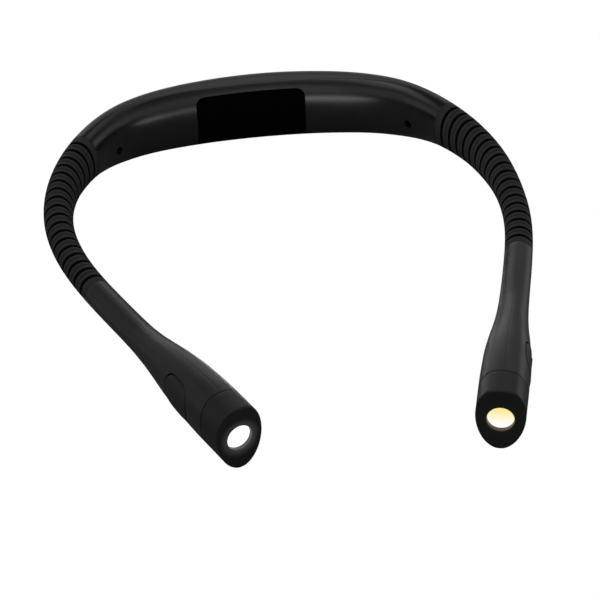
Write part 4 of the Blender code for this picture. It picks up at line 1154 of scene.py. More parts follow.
@dataclass(frozen=True)
class Finishes:
    """Every finish of the light but those of its lit lamps."""

    rear: Moulded = Moulded("rear_plastic", (0.043, 0.043, 0.0435), roughness=0.52, grain=0.00030,
                            relief=0.000006, mottle=0.06, gloss_change=0.05, specular=0.55)
    inner: Moulded = Moulded("inner_plastic", (0.0080, 0.0085, 0.0102), roughness=0.22, grain=0.0009,
                             relief=0.000004, mottle=0.05, gloss_change=0.03)
    pad: Moulded = Moulded("pad_rubber", (0.0008, 0.0008, 0.0008), roughness=0.85, grain=0.00045,
                           relief=0.00002, gloss_change=0.05, specular=0.03)
    # The sleeve's groove shade is painted shade in its grooves.
    sleeve: Ribbed = Ribbed("sleeve_rubber", (0.032, 0.032, 0.032), roughness=0.62, grain=0.00028,
                            relief=0.00001, specular=0.10, groove_shade=(0.0004, 0.0004, 0.0004))
    head: Moulded = Moulded("head_plastic", (0.0150, 0.0150, 0.0144), roughness=0.41, specular=0.45, **SATIN)
    cap: Moulded = Moulded("cap_plastic", (0.0105, 0.0105, 0.0108), roughness=0.46, specular=0.36, **SATIN)
    button: Moulded = Moulded("button_plastic", (0.0155, 0.0155, 0.0148), roughness=0.52, specular=0.40,
                              **SATIN)
    switch: Moulded = Moulded("switch_plastic", (0.03, 0.03, 0.03), roughness=0.45)
    insulation: Moulded = Moulded("wire_insulation", (0.42, 0.03, 0.02), roughness=0.42, grain=0.0005,
                                  relief=0.00001, mottle=0.12)
    phosphor: Moulded = Moulded("led_phosphor", (0.95, 0.80, 0.22), roughness=0.40, grain=0.0002,
                                relief=0.00001)
    bright_steel: Metal = Metal("bright_steel", (0.62, 0.61, 0.59), roughness=0.30)
    screw_steel: Metal = Metal("screw_steel", (0.12, 0.12, 0.125), roughness=0.34)
    reflector: Metal = Metal("reflector_chrome", (0.88, 0.88, 0.86), roughness=0.16, streak=0.0009)
    board: CircuitBoard = CircuitBoard("board")
    foil: Foil = Foil("battery_foil")
    light_pipe: ClearPlastic = ClearPlastic("light_pipe")


def dress_node(name: str, finish: bpy.types.Material) -> None:
    """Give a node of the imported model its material.

    Args:
        name: Name of the node.
        finish: Its material.
    """
    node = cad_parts[name]
    if not node.material_slots:
        node.data.materials.append(finish)
    for holder in node.material_slots:
        holder.material = finish


@dataclass
class Shell:
    """One half of a hollow casing with rounded seam edges and rounded ends."""

    line: CentreLine
    half: Half
    seams: Callable[[float], Place]
    wall: float
    edge: float
    stations: list[float]
    steps: int = 40

    def section_points(self, station: float, extra: float) -> list[Place]:
        """Closed outline of the half's wall.

        Args:
            station: Where it is cut.
            extra: Depth by which the outside is sunk there.

        Returns:
            The points, outside first.
        """
        outline = self.line.form.outline(station)
        low, high = self.seams(station)
        way = 1 if self.half is Half.OUTER else -1
        corner = round_over(self.edge)

        def edge_points(cut: float, above: bool) -> list[Place]:
            """Rounded edge at one seam, from the seam inwards."""
            points = []
            for distance, depth in reversed(corner):
                sunk = outline.inset(depth + extra)
                points.append(sunk.point(sunk.angle_at_offset(cut + way * distance, above)))
            return points

        surface = outline.inset(extra)
        start = surface.angle_at_offset(low + way * self.edge, False)
        stop = surface.angle_at_offset(high + way * self.edge, True)
        full = 2 * math.pi if self.half is Half.INNER else 0.0
        middle = [surface.point(angle) for angle in spread(start + full, stop, self.steps)[1:-1]]
        inside = outline.inset(self.wall)
        turned = inside.angle_at_offset(low, False) + full
        back = spread(inside.angle_at_offset(high, True), turned, self.steps // 2)
        return [*edge_points(low, False), *middle, *reversed(edge_points(high, True)),
                *(inside.point(angle) for angle in back)]

    def build(self, name: str) -> bpy.types.Object:
        """Make the shell as an object.

        Args:
            name: Name of the piece.

        Returns:
            The object, without its finish.
        """
        first, last = self.stations[0], self.stations[-1]
        corner = round_over(self.edge)
        rows = [(first + distance, depth) for distance, depth in reversed(corner)]
        rows += [(station, 0.0) for station in self.stations
                 if first + self.edge < station < last - self.edge]
        rows += [(last - distance, depth) for distance, depth in corner]
        rings = [self.line.ring(station, self.section_points(station, depth)) for station, depth in rows]
        return raw_object(name, loft(rings))


@dataclass
class Housing:
    """Curved back housing: two covers, the neck pad, the screws and what is inside."""

    line: CentreLine
    finishes: Finishes
    wall: float = 0.0018
    gap: float = 0.0003
    seam_gap: float = 0.0001
    seam_edge: float = 0.00012
    lower_seam: float = -0.0011
    upper_seam: float = -0.0037
    upper_seam_end: float = 0.0003
    station_step: float = 0.0011
    screw_station: float = 0.0678
    screw_rise: float = -0.0031
    screw_sink: float = 0.0024
    screw_head: tuple[float, float] = (0.0028, 0.0014)
    screw_shank: tuple[float, float] = (0.0017, 0.0062)
    screw_hole: float = 0.0034
    screw_seat: float = 0.0012
    screw_sides: int = 36
    thread_turns: int = 12
    thread_root: float = 0.82
    boss: float = 0.0058
    pad_middle: float = -0.0037
    pad_half: float = 0.0234
    pad_top: float = 0.0089
    pad_margin: float = 0.0011
    pad_thickness: float = 0.0007
    pad_corner: float = 0.0035
    pad_edge: float = 0.00025
    pad_span: float = 0.0215
    pad_cells: tuple[int, int] = (56, 36)
    socket_station: float = 0.0365
    socket_offset: float = 0.0020
    socket_sizes: tuple[float, float, float] = (0.00894, 0.00326, 0.0073)
    socket_recess: float = 0.0007
    socket_wall: float = 0.0003
    socket_tongue: float = 0.00128
    socket_trim: float = 0.00008
    socket_round: int = 16
    trim_cells: tuple[int, int] = (72, 8)
    pipe_spacing: float = 0.0085
    pipe_diameter: float = 0.0018
    overrun: float = 0.001

    def seams(self, shift: float) -> Callable[[float], Place]:
        """Offsets of both seams, moved aside.

        Args:
            shift: Half the seam's gap, with its sign.

        Returns:
            A function from a station to the two offsets.
        """
        def at(station: float) -> Place:
            """Offsets at a station."""
            share = (station / self.line.form.housing_half) ** 2
            upper = self.upper_seam + (self.upper_seam_end - self.upper_seam) * share
            return self.lower_seam + shift, upper + shift
        return at

    def cover(self, name: str, half: Half) -> bpy.types.Object:
        """One cover, before its holes.

        Args:
            name: Name of the piece.
            half: Which half it is.

        Returns:
            The object.
        """
        end = self.line.form.housing_half
        stations = spread(-end, end, round(2 * end / self.station_step))
        shift = self.seam_gap / 2 if half is Half.OUTER else -self.seam_gap / 2
        return Shell(self.line, half, self.seams(shift), self.wall, self.seam_edge, stations).build(name)

    def drill(self, rear: bpy.types.Object, inner: bpy.types.Object) -> None:
        """Bosses and holes of the two cover screws.

        Args:
            rear: Rear cover.
            inner: Inner cover.
        """
        thickness = self.line.form.housing_rows[0][1]
        surface = -thickness / 2
        seat = surface + self.screw_sink + self.screw_head[1] + self.gap
        meet = seat + self.screw_seat
        back = thickness / 2 - self.wall
        shank = self.screw_shank[0] + 2 * self.gap
        for side in Side:
            placement = self.line.matrix(side.sign * self.screw_station, 0.0, self.screw_rise, Axis.OUTWARD)
            carve(inner, bar(self.boss, surface + self.wall / 2, meet, placement), "UNION")
            carve(inner, bar(self.screw_hole, surface - self.overrun, seat, placement))
            carve(inner, bar(shank, surface, meet + self.overrun, placement))
            carve(rear, bar(self.boss, meet + self.gap, back + self.wall / 2, placement), "UNION")
            carve(rear, bar(shank, meet, back, placement))

    def skin_point(self, reach: float, rise: float, depth: float) -> Vector:
        """Point of the neck side.

        Args:
            reach: Distance from the pad's middle.
            rise: Height above the line.
            depth: Depth below the surface.

        Returns:
            The world position.
        """
        station = self.pad_middle + reach
        outline = self.line.form.outline(station).inset(depth)
        offset, level = outline.point(math.pi - outline.angle_at_rise(rise))
        return self.line.point(station, offset, level)

    def pad_grid(self, margin: float, depth: Callable[[float, float], float]) -> list[list[Vector]]:
        """Grid of points over the pad's outline.

        Args:
            margin: How far the outline is moved outwards.
            depth: Depth below the surface by the shares across and up.

        Returns:
            Rows of points from the lower to the upper edge.
        """
        half, radius = self.pad_half + margin, self.pad_corner + margin
        columns, levels = self.pad_cells
        shares = sorted({round(math.sin(math.radians(angle)), 6) for angle in spread(-90.0, 90.0, columns)})
        rises = [(0.5 - 0.5 * math.cos(math.pi * up / levels), up / levels) for up in range(levels + 1)]
        low = self.pad_margin - margin - self.line.form.axis_height(0.0)
        rows = []
        for share in shares:
            reach = share * half
            into = radius - (half - abs(reach))
            drop = radius - math.sqrt(max(radius**2 - into**2, 0.0)) if into > 0 else 0.0
            top = self.pad_top + margin - drop
            rows.append([self.skin_point(reach, low + (top - low) * part, depth(share, up))
                         for part, up in rises])
        return rows

    def pad_mesh(self, margin: float, top: float, bottom: float, edge: float) -> bmesh.types.BMesh:
        """Plate that follows the neck side between two depths.

        Args:
            margin: How far it reaches beyond the pad's outline.
            top: Depth of its outer face.
            bottom: Depth of its back.
            edge: Radius of its outer edges.

        Returns:
            The closed mesh.
        """
        def outside(across: float, up: float) -> float:
            """Depth of the outer face, rounded off close to the edges."""
            close = min((1 - abs(across)) * self.pad_half, min(up, 1 - up) * self.pad_span)
            if not edge or close >= edge:
                return top
            return top + edge - math.sqrt(max(edge**2 - (edge - close) ** 2, 0.0))

        outer = self.pad_grid(margin, outside)
        inner = self.pad_grid(margin, lambda across, up: bottom)
        mesh = bmesh.new()
        rims = []
        for rows in (outer, inner):
            grid = [[mesh.verts.new(point) for point in row] for row in rows]
            for low, high in zip(grid, grid[1:]):
                for index in range(len(low) - 1):
                    mesh.faces.new((low[index], low[index + 1], high[index + 1], high[index]))
            rims.append([*grid[0], *(row[-1] for row in grid[1:-1]), *reversed(grid[-1]),
                         *(row[0] for row in reversed(grid[1:-1]))])
        join_rows(mesh, rims, False)
        return mesh

    def socket_outline(self, grow: float) -> list[Place]:
        """Outline of the charging socket: a rectangle with half-round ends.

        Args:
            grow: How much wider it is on each side.

        Returns:
            The points.
        """
        width, thickness = (size + 2 * grow for size in self.socket_sizes[:2])
        radius = thickness / 2
        places = []
        for centre, start in ((width / 2 - radius, -90.0), (radius - width / 2, 90.0)):
            for angle in spread(start, start + 180.0, self.socket_round):
                turn = math.radians(angle)
                places.append((centre + radius * math.cos(turn), radius * math.sin(turn)))
        return places

    def port_matrix(self, shift: float = 0.0) -> Matrix:
        """Placement of the charging socket's mouth, or of a point further along the housing's lower edge."""
        rise = self.socket_recess - self.line.form.axis_height(0.0)
        return self.line.matrix(self.socket_station + shift, self.socket_offset, rise, Axis.UP)

    def port_prism(self, grow: float, low: float, high: float) -> bmesh.types.BMesh:
        """Prism with the charging socket's outline, between two heights above its mouth.

        Args:
            grow: How much wider it is on each side.
            low: Height of its lower end.
            high: Height of its upper end.

        Returns:
            The mesh.
        """
        prism = loft([[Vector((x, y, level)) for x, y in self.socket_outline(grow)] for level in (low, high)])
        prism.transform(self.port_matrix())
        return prism

    def open_port(self, rear: bpy.types.Object) -> None:
        """Holes of the charging socket and of the charge light.

        Args:
            rear: Rear cover.
        """
        carve(rear, self.port_prism(self.gap, -self.wall, self.socket_sizes[2]))
        carve(rear, bar(self.pipe_diameter + 2 * self.gap, -self.wall, self.socket_sizes[2],
                        self.port_matrix(self.pipe_spacing)))

    def socket(self) -> None:
        """Charging socket: a steel shell round a tongue, trimmed to the curve of the housing's lower edge."""
        reach, _, depth = self.socket_sizes
        sides, steps = self.trim_cells
        form = self.line.form
        piece = raw_object("charging_socket_shell", self.port_prism(0.0, 0.0, depth))
        carve(piece, self.port_prism(-self.socket_wall, -self.wall, depth - 2 * self.socket_wall))
        carve(piece, self.port_prism(-self.socket_tongue, self.socket_recess, depth), "UNION")
        rings = [self.line.ring(station, form.outline(station).inset(self.socket_trim).ring(sides))
                 for station in spread(self.socket_station - reach, self.socket_station + reach, steps)]
        carve(piece, loft(rings), "INTERSECT")
        settle(piece, self.finishes.bright_steel.build(),
               Mount("housing", "bright_steel", ("charging_socket",)))

    def screws(self) -> None:
        """Both cover screws, each with a round recess in its head, as copies of one turned part."""
        head, height = self.screw_head[0] / 2, self.screw_head[1]
        shank, length = self.screw_shank[0] / 2, self.screw_shank[1]
        edge = height / 5
        end = height + length
        threads = []
        for turn in range(self.thread_turns):
            level = height + self.gap + (length - shank - self.gap) * turn / self.thread_turns
            threads += [(shank, level), (shank * self.thread_root, level + length / 30)]
        # The recess and its eased rim come first, then the head, the threads and the tip.
        profile = [(0.0, head * 0.9), (head * 0.5, head * 0.8), (head * 0.5, edge / 3), (head * 0.56, 0.0),
                   (head - edge, 0.0), (head, edge), (head, height), (shank, height), *threads,
                   (shank * 0.8, end - shank), (0.0, end)]
        part = raw_object("screw_part", lathe(profile, Matrix.Identity(4), self.screw_sides))
        surface = -self.line.form.housing_rows[0][1] / 2 + self.screw_sink
        places = [self.line.matrix(side.sign * self.screw_station, surface, self.screw_rise, Axis.OUTWARD)
                  for side in Side]
        data = bpy.data.meshes.new("cover_screws")
        data.from_pydata([place.translation for place in places], [], [])
        facing = data.attributes.new("facing", "FLOAT_VECTOR", "POINT")
        for item, place in zip(facing.data, places):
            item.vector = place.to_3x3().col[2]
        piece = linked("cover_screws", data)
        finish = self.finishes.screw_steel.build()
        run_tree(piece, placed_tree(), {"Part": part, "Finish": finish})
        bpy.data.objects.remove(part)
        names = tuple(f"{side.value}_cover_screw" for side in Side)
        settle(piece, finish, Mount("housing", "screw_steel", names))

    def build(self) -> None:
        """Make and dress every piece of the housing."""
        rear = self.cover("rear_cover_shell", Half.OUTER)
        inner = self.cover("inner_cover_shell", Half.INNER)
        self.drill(rear, inner)
        self.open_port(rear)
        carve(inner, self.pad_mesh(self.seam_gap, -self.overrun, self.pad_thickness + self.seam_gap, 0.0))
        settle(rear, self.finishes.rear.build(), Mount("housing", "rear_plastic", ("rear_cover",)))
        settle(inner, self.finishes.inner.build(), Mount("housing", "inner_plastic", ("inner_cover",)))
        pad = raw_object("soft_neck_pad", self.pad_mesh(0.0, 0.0, self.pad_thickness, self.pad_edge))
        settle(pad, self.finishes.pad.build(), Mount("housing", "pad_rubber", ("neck_pad",)), sharp=50.0)
        self.screws()
        self.socket()
        dress_node("battery", self.finishes.foil.build())
        dress_node("main_board", self.finishes.board.build())
        dress_node("charge_light_pipe", self.finishes.light_pipe.build())


@dataclass
class Arm:
    """Bendable arm: the ribbed sleeve, the wound core and the lamp wire, each in two pieces."""

    line: CentreLine
    finishes: Finishes
    ribs: bpy.types.NodeTree
    winding: bpy.types.NodeTree
    collar: float = 0.0044
    cuff: float = 0.0040
    grooves: int = 18
    groove_width: float = 0.0018
    groove_depth: float = 0.0011
    line_width: float = 0.0008
    line_depth: float = 0.00028
    plug: float = 0.0050
    gap: float = 0.0003
    end_gap: float = 0.00012
    wall_inside: tuple[float, float] = (0.0018, 0.0013)
    skin_edge: float = 0.0003
    skin_edge_steps: int = 3
    groove_shares: tuple[float, ...] = (-1.0, -0.8, -0.62, -0.42, -0.2, 0.0, 0.2, 0.42, 0.62, 0.8, 1.0)
    line_shares: tuple[float, ...] = (-1.0, -0.6, -0.3, 0.0, 0.3, 0.6, 1.0)
    land_shares: tuple[float, float] = (1.25, 1.7)
    core: float = 0.0044
    core_bore: float = 0.0025
    core_steps: int = 60
    bore_rings: int = 24
    winding_pitch: float = 1.06
    turn_points: int = 14
    clamp: float = 0.0060
    core_spare: float = 0.0006
    wire: float = 0.0015
    wire_step: float = 0.0015
    wire_sides: int = 12
    sides: int = 60
    split_groove: int = 9
    split_margin: float = 0.001
    bend_margin: float = 0.0052
    sharp: float = 60.0

    @property
    def start(self) -> float:
        """Station where the sleeve's skin begins."""
        return self.line.form.housing_half + self.end_gap

    @property
    def end(self) -> float:
        """Station where the sleeve's skin ends."""
        return self.line.form.head_start - self.end_gap

    @property
    def first_groove(self) -> float:
        """Station of the first groove."""
        return self.line.form.housing_half + self.gap + self.collar

    @property
    def pitch(self) -> float:
        """Distance between grooves."""
        return (self.line.form.head_start - self.gap - self.cuff - self.first_groove) / (self.grooves - 1)

    @property
    def split(self) -> float:
        """Station where the arm's two pieces meet, at the bottom of a groove."""
        return self.first_groove + self.split_groove * self.pitch

    def skin_rows(self) -> list[tuple[float, float]]:
        """Stations and extra depths of the rings of the sleeve's whole skin."""
        corner = round_over(self.skin_edge, self.skin_edge_steps)
        rows = [(self.start + distance, depth) for distance, depth in reversed(corner)]
        half, wide = self.groove_width / 2, self.line_width / 2
        near, far = (half * share for share in self.land_shares)
        for index in range(self.grooves):
            middle = self.first_groove + index * self.pitch
            rows += [(middle + share * half, 0.0) for share in self.groove_shares]
            if index < self.grooves - 1:
                land = middle + self.pitch / 2
                rows += [(middle + near, 0.0), (middle + far, 0.0)]
                rows += [(land + share * wide, 0.0) for share in self.line_shares]
                rows += [(middle + self.pitch - far, 0.0), (middle + self.pitch - near, 0.0)]
        rows += [(self.end - distance, depth) for distance, depth in corner]
        return rows

    def sleeve_base(self, name: str, low: float, high: float) -> bpy.types.Object:
        """Smooth tube of one stretch of the sleeve, which knows its stations.

        Args:
            name: Name of the piece.
            low: Station where the stretch begins.
            high: Station where it ends.

        Returns:
            The object, before its ribs.
        """
        form = self.line.form
        lower_wall, upper_wall = self.wall_inside
        rings: list[tuple[float, list[Place], float]] = []
        if low <= self.start:
            plug = form.outline(self.start).inset(lower_wall + self.gap).ring(self.sides)
            rings += [(self.start - self.plug, plug, NO_STATION), (self.start, plug, NO_STATION)]
        rings += [(station, form.outline(station).inset(depth).ring(self.sides), station)
                  for station, depth in self.skin_rows()
                  if low - WELD_DISTANCE <= station <= high + WELD_DISTANCE]
        if high >= self.end:
            plug = form.outline(self.end).inset(upper_wall + self.gap).ring(self.sides)
            rings += [(self.end, plug, NO_STATION), (self.end + self.plug, plug, NO_STATION)]
        bore = Outline(self.core + 2 * self.gap, self.core + 2 * self.gap).ring(self.sides)
        rings += [(station, bore, NO_STATION)
                  for station in spread(rings[-1][0], rings[0][0], self.bore_rings)]
        mesh = bmesh.new()
        layer = mesh.verts.layers.float.new("station")
        grid = []
        for station, places, mark in rings:
            row = [mesh.verts.new(point) for point in self.line.ring(station, places)]
            for vertex in row:
                vertex[layer] = mark
            grid.append(row)
        join_rows(mesh, grid, True)
        return raw_object(name, mesh)

    def core_base(self, name: str, low: float, high: float) -> bpy.types.Object:
        """Path of one stretch of the core, as a chain of edges.

        Args:
            name: Name of the piece.
            low: Station where it begins.
            high: Station where it ends.

        Returns:
            The object.
        """
        places = [self.line.point(station) for station in spread(low, high, self.core_steps)]
        data = bpy.data.meshes.new(name)
        data.from_pydata(places, [(index, index + 1) for index in range(self.core_steps)], [])
        return linked(name, data)

    def build(self, route: Callable[[], list[tuple[float, float, float]]]) -> None:
        """Make the arm's pieces.

        Args:
            route: Gives the stations, offsets and heights that the lamp wire passes.
        """
        side = self.line.side.value
        rubber, steel = self.finishes.sleeve.build(), self.finishes.bright_steel.build()
        insulation = self.finishes.insulation.build()
        reach = self.plug + 2 * self.gap + self.clamp + self.core_spare
        core_low, core_high = self.line.form.housing_half - reach, self.line.form.head_start + reach
        wire_radius = (self.core - self.core_bore) / 4
        places = route()
        parts = (("lower", self.start, self.split, core_low, places[0][0], ("housing", f"{side}_arm")),
                 ("upper", self.split, self.end, core_high, places[-1][0], (f"{side}_arm", f"{side}_head")))
        for part, low, high, core_end, wire_end, (body, next_body) in parts:
            margins = self.bend_margin, self.split_margin
            first, last = margins if part == "lower" else reversed(margins)
            bend = self.line.point(low + first), self.line.point(high - last)
            sleeve = self.sleeve_base(f"{side}_sleeve_{part}", low, high)
            run_tree(sleeve, self.ribs, {
                "First Groove": self.first_groove, "Pitch": self.pitch, "Grooves": self.grooves,
                "Groove Width": self.groove_width, "Groove Depth": self.groove_depth,
                "Line Width": self.line_width, "Line Depth": self.line_depth, "Finish": rubber})
            turns = abs(self.split - core_end) / (2 * wire_radius * self.winding_pitch)
            core = self.core_base(f"{side}_gooseneck_{part}", *sorted((self.split, core_end)))
            run_tree(core, self.winding, {
                "Turns": turns, "Points": round(turns * self.turn_points),
                "Winding Radius": self.core / 2 - wire_radius, "Wire Radius": wire_radius, "Finish": steel})
            strand = self.wire_mesh(places, *sorted((self.split, wire_end)))
            wire = raw_object(f"{side}_lamp_wire_{part}", strand)
            for piece, finish, slot, node in ((sleeve, rubber, "sleeve_rubber", "sleeve"),
                                              (core, steel, "bright_steel", "gooseneck"),
                                              (wire, insulation, "wire_insulation", "lamp_wire")):
                settle(piece, finish, Mount(body, slot, (f"{side}_{node}",), next_body, bend), self.sharp)

    def wire_mesh(self, places: list[tuple[float, float, float]], low: float,
                  high: float) -> bmesh.types.BMesh:
        """One stretch of the lamp wire.

        Args:
            places: Stations, offsets and heights that the wire passes.
            low: Station where the stretch begins.
            high: Station where it ends.

        Returns:
            The mesh.
        """
        outline = Outline(self.wire, self.wire).ring(self.wire_sides)
        stretches = list(zip(places, places[1:]))
        rings = []
        for station in spread(low, high, round((high - low) / self.wire_step)):
            pair = next((pair for pair in stretches if station <= pair[1][0]), stretches[-1])
            (start, *first), (stop, *second) = pair
            part = share_of(station, start, stop)
            ease = part * part * (3 - 2 * part)
            offset, rise = (a + (b - a) * ease for a, b in zip(first, second))
            rings.append(self.line.ring(station, [(offset + x, rise + y) for x, y in outline]))
        return loft(rings)


@dataclass
class LampHead:
    """Lamp head: two shells, the cap, the lens and what is behind it, and the push button."""

    line: CentreLine
    finishes: Finishes
    light: LampLight
    wall: float = 0.0013
    gap: float = 0.0003
    seam_gap: float = 0.00002
    seam_edge: float = 0.00004
    cap_gap: float = 0.00024
    station_step: float = 0.0011
    casing_steps: int = 44
    cap_length: float = 0.0104
    cap_edge: float = 0.0005
    cap_edge_steps: int = 8
    cap_rear_edge: float = 0.0002
    cap_margins: tuple[float, float] = (0.001, 0.0003)
    cap_steps: int = 6
    cap_front: float = 0.0015
    cap_sides: int = 96
    opening: float = 0.0084
    opening_edge: float = 0.0003
    lens: float = 0.0112
    lens_thickness: float = 0.0011
    lens_recess: float = 0.0011
    lens_dome: float = 0.0005
    dome_end: float = 84.0
    dome_steps: int = 12
    lens_sides: int = 72
    button_sizes: tuple[float, float] = (0.0144, 0.0126)
    button_rise: float = 0.0010
    button_distance: float = 0.0206
    button_exponent: float = 3.0
    button_proud: float = 0.00022
    button_gap: float = 0.00045
    button_edge: float = 0.0003
    button_edge_steps: int = 5
    button_steps: int = 14
    button_middle: float = 0.04
    button_sides: int = 96
    stem_reach: float = 0.0029
    flange_thickness: float = 0.0010
    flange_lip: float = 0.0008
    mark_sizes: tuple[float, float, float] = (0.0052, 0.0007, 0.0002)
    mark_rise: float = 0.0014
    mark_sides: int = 48
    mark_top: float = 0.86

    @property
    def button_station(self) -> float:
        """Station of the button's middle."""
        return self.line.form.face - self.button_distance - self.button_sizes[0] / 2

    @property
    def body(self) -> str:
        """Name of the head's body."""
        return f"{self.line.side.value}_head"

    def button_outline(self, grow: float) -> list[Place]:
        """Outline of the button, as distances along the head and up from its middle."""
        length, height = (size + 2 * grow for size in self.button_sizes)
        return Outline(length, height, self.button_exponent, self.button_exponent).ring(self.button_sides)

    def button_point(self, along: float, offset: float, rise: float) -> Vector:
        """World position beside the button's middle, in the button's own straight directions."""
        _, forward, _ = self.line.frame(self.button_station)
        return self.line.point(self.button_station, offset, self.button_rise + rise) + forward * along

    def shell(self, half: Half) -> bpy.types.Object:
        """One half of the head's casing.

        Args:
            half: Which half it is.

        Returns:
            The object.
        """
        start = self.line.form.head_start + self.gap / 4
        end = self.line.form.face - self.cap_length - self.cap_gap
        shift = self.seam_gap / 2 if half is Half.OUTER else -self.seam_gap / 2
        stations = spread(start, end, round((end - start) / self.station_step))

        def seams(_: float) -> Place:
            """Both seams of the head run straight."""
            return shift, shift

        name = f"{self.line.side.value}_head_{half.value}_casing"
        casing = Shell(self.line, half, seams, self.wall, self.seam_edge, stations, self.casing_steps)
        return casing.build(name)

    def cap(self) -> bmesh.types.BMesh:
        """Cap of the head, hollow, with a round opening whose edge is eased."""
        form = self.line.form
        start, face = form.face - self.cap_length, form.face
        back = face - self.cap_front
        after, before = self.cap_margins
        rows = [(start + distance, form.outline(start).inset(depth))
                for distance, depth in reversed(round_over(self.cap_rear_edge))]
        rows += [(station, form.outline(station))
                 for station in spread(start + after, face - self.cap_edge - before, self.cap_steps)]
        rows += [(face - distance, form.outline(face).inset(depth))
                 for distance, depth in round_over(self.cap_edge, self.cap_edge_steps)]
        front = form.outline(face).inset(self.cap_edge)
        for share in (0.25, 0.5, 0.75):
            width = front.width + (self.opening - front.width) * share
            height = front.height + (self.opening - front.height) * share
            rows.append((face, replace(front, width=width, height=height, lift=front.lift * (1 - share),
                                       crown=front.crown * (1 - share))))
        for distance, depth in round_over(self.opening_edge):
            size = self.opening + 2 * distance
            rows.append((face - depth, Outline(size, size)))
        rows.append((back, Outline(self.opening, self.opening)))
        rows += [(station, form.outline(station).inset(self.wall)) for station in (back, start)]
        rings = [self.line.ring(station, outline.ring(self.cap_sides, 0.5)) for station, outline in rows]
        return loft(rings, capped=False)

    def lamp(self) -> None:
        """Lens, with the finishes of the parts behind it and of the arm's clamps."""
        side, form = self.line.side.value, self.line.form
        back = form.face - self.cap_front - self.gap - self.lens_thickness
        flange, middle = self.lens / 2, self.opening / 2 - self.gap / 2
        crest = form.face - self.lens_recess - back
        angles = [math.radians(angle) for angle in spread(0.0, self.dome_end, self.dome_steps)]
        dome = [(middle * math.cos(angle), crest - self.lens_dome * (1 - math.sin(angle)))
                for angle in angles]
        profile = [(0.0, 0.0), (flange, 0.0), (flange, self.lens_thickness), (middle, self.lens_thickness),
                   *dome, (0.0, crest)]
        lens = raw_object(f"{side}_lamp_lens", lathe(profile, self.line.matrix(back), self.lens_sides))
        slot = f"{side}_lens_plastic"
        glass = GlowingLens(slot, self.light, self.line.point(form.face), middle).build()
        settle(lens, glass, Mount(self.body, slot, (f"{side}_lens",)))
        finishes = self.finishes
        for part, finish in (("reflector", finishes.reflector), ("led_board", finishes.board),
                             ("led", finishes.phosphor), ("switch_board", finishes.board),
                             ("switch", finishes.switch), ("switch_plunger", finishes.switch),
                             ("head_clamp", finishes.screw_steel), ("housing_clamp", finishes.screw_steel)):
            dress_node(f"{side}_{part}", finish.build())

    def button(self) -> bpy.types.Object:
        """Push button, whose face follows the head, with its flange and its raised mark."""
        form = self.line.form
        wide = self.button_outline(self.flange_lip)
        narrow = self.button_outline(0.0)
        rings = [[self.button_point(along, offset, rise) for along, rise in wide]
                 for offset in (self.stem_reach - self.flange_thickness, self.stem_reach)]
        rings.append([self.button_point(along, self.stem_reach, rise) for along, rise in narrow])
        half_height = self.button_sizes[1] / 2
        shares = [(1 - distance / half_height, depth)
                  for distance, depth in reversed(round_over(self.button_edge, self.button_edge_steps))]
        shares += [(share, 0.0)
                   for share in spread(shares[-1][0], self.button_middle, self.button_steps)[1:]]
        for share, drop in shares:
            ring = []
            for along, rise in narrow:
                place = self.button_station + along * share
                surface = form.outline(place).offset_at_rise(self.button_rise + rise * share)
                level = surface + self.button_proud - drop
                ring.append(self.button_point(along * share, level, rise * share))
            rings.append(ring)
        piece = raw_object(f"{self.line.side.value}_push_button", loft(rings))
        length, width, height = self.mark_sizes
        mark = Outline(length, width).ring(self.mark_sides)
        surface = form.outline(self.button_station).offset_at_rise(self.button_rise + self.mark_rise)
        top = surface + self.button_proud + height
        bar_rings = [[self.button_point(along * grow, level, self.mark_rise + rise * grow)
                      for along, rise in mark]
                     for level, grow in ((surface, 1.0), (top - height / 3, 1.0), (top, self.mark_top))]
        carve(piece, loft(bar_rings), "UNION")
        return piece

    def build(self) -> None:
        """Make and dress every piece of the head."""
        side, head = self.line.side.value, self.finishes.head.build()
        outer, inner = self.shell(Half.OUTER), self.shell(Half.INNER)
        depth = self.line.form.outline(self.button_station).width
        hole = self.button_outline(self.button_gap)
        carve(outer, loft([[self.button_point(along, offset, rise) for along, rise in hole]
                           for offset in (0.0, depth)]))
        settle(outer, head, Mount(self.body, "head_plastic", (f"{side}_head_outer_shell",)))
        settle(inner, head, Mount(self.body, "head_plastic", (f"{side}_head_inner_shell",)))
        plastic, centre = self.finishes.cap, self.line.point(self.line.form.face)
        cap = raw_object(f"{side}_front_cap", self.cap())
        settle(cap, LitFace(plastic.name, plastic, centre, self.light, self.opening / 2).build(),
               Mount(self.body, "cap_plastic", (f"{side}_lamp_cap",)))
        self.lamp()
        settle(self.button(), self.finishes.button.build(),
               Mount(f"{side}_button_press", "button_plastic", (f"{side}_button",)), sharp=40.0)


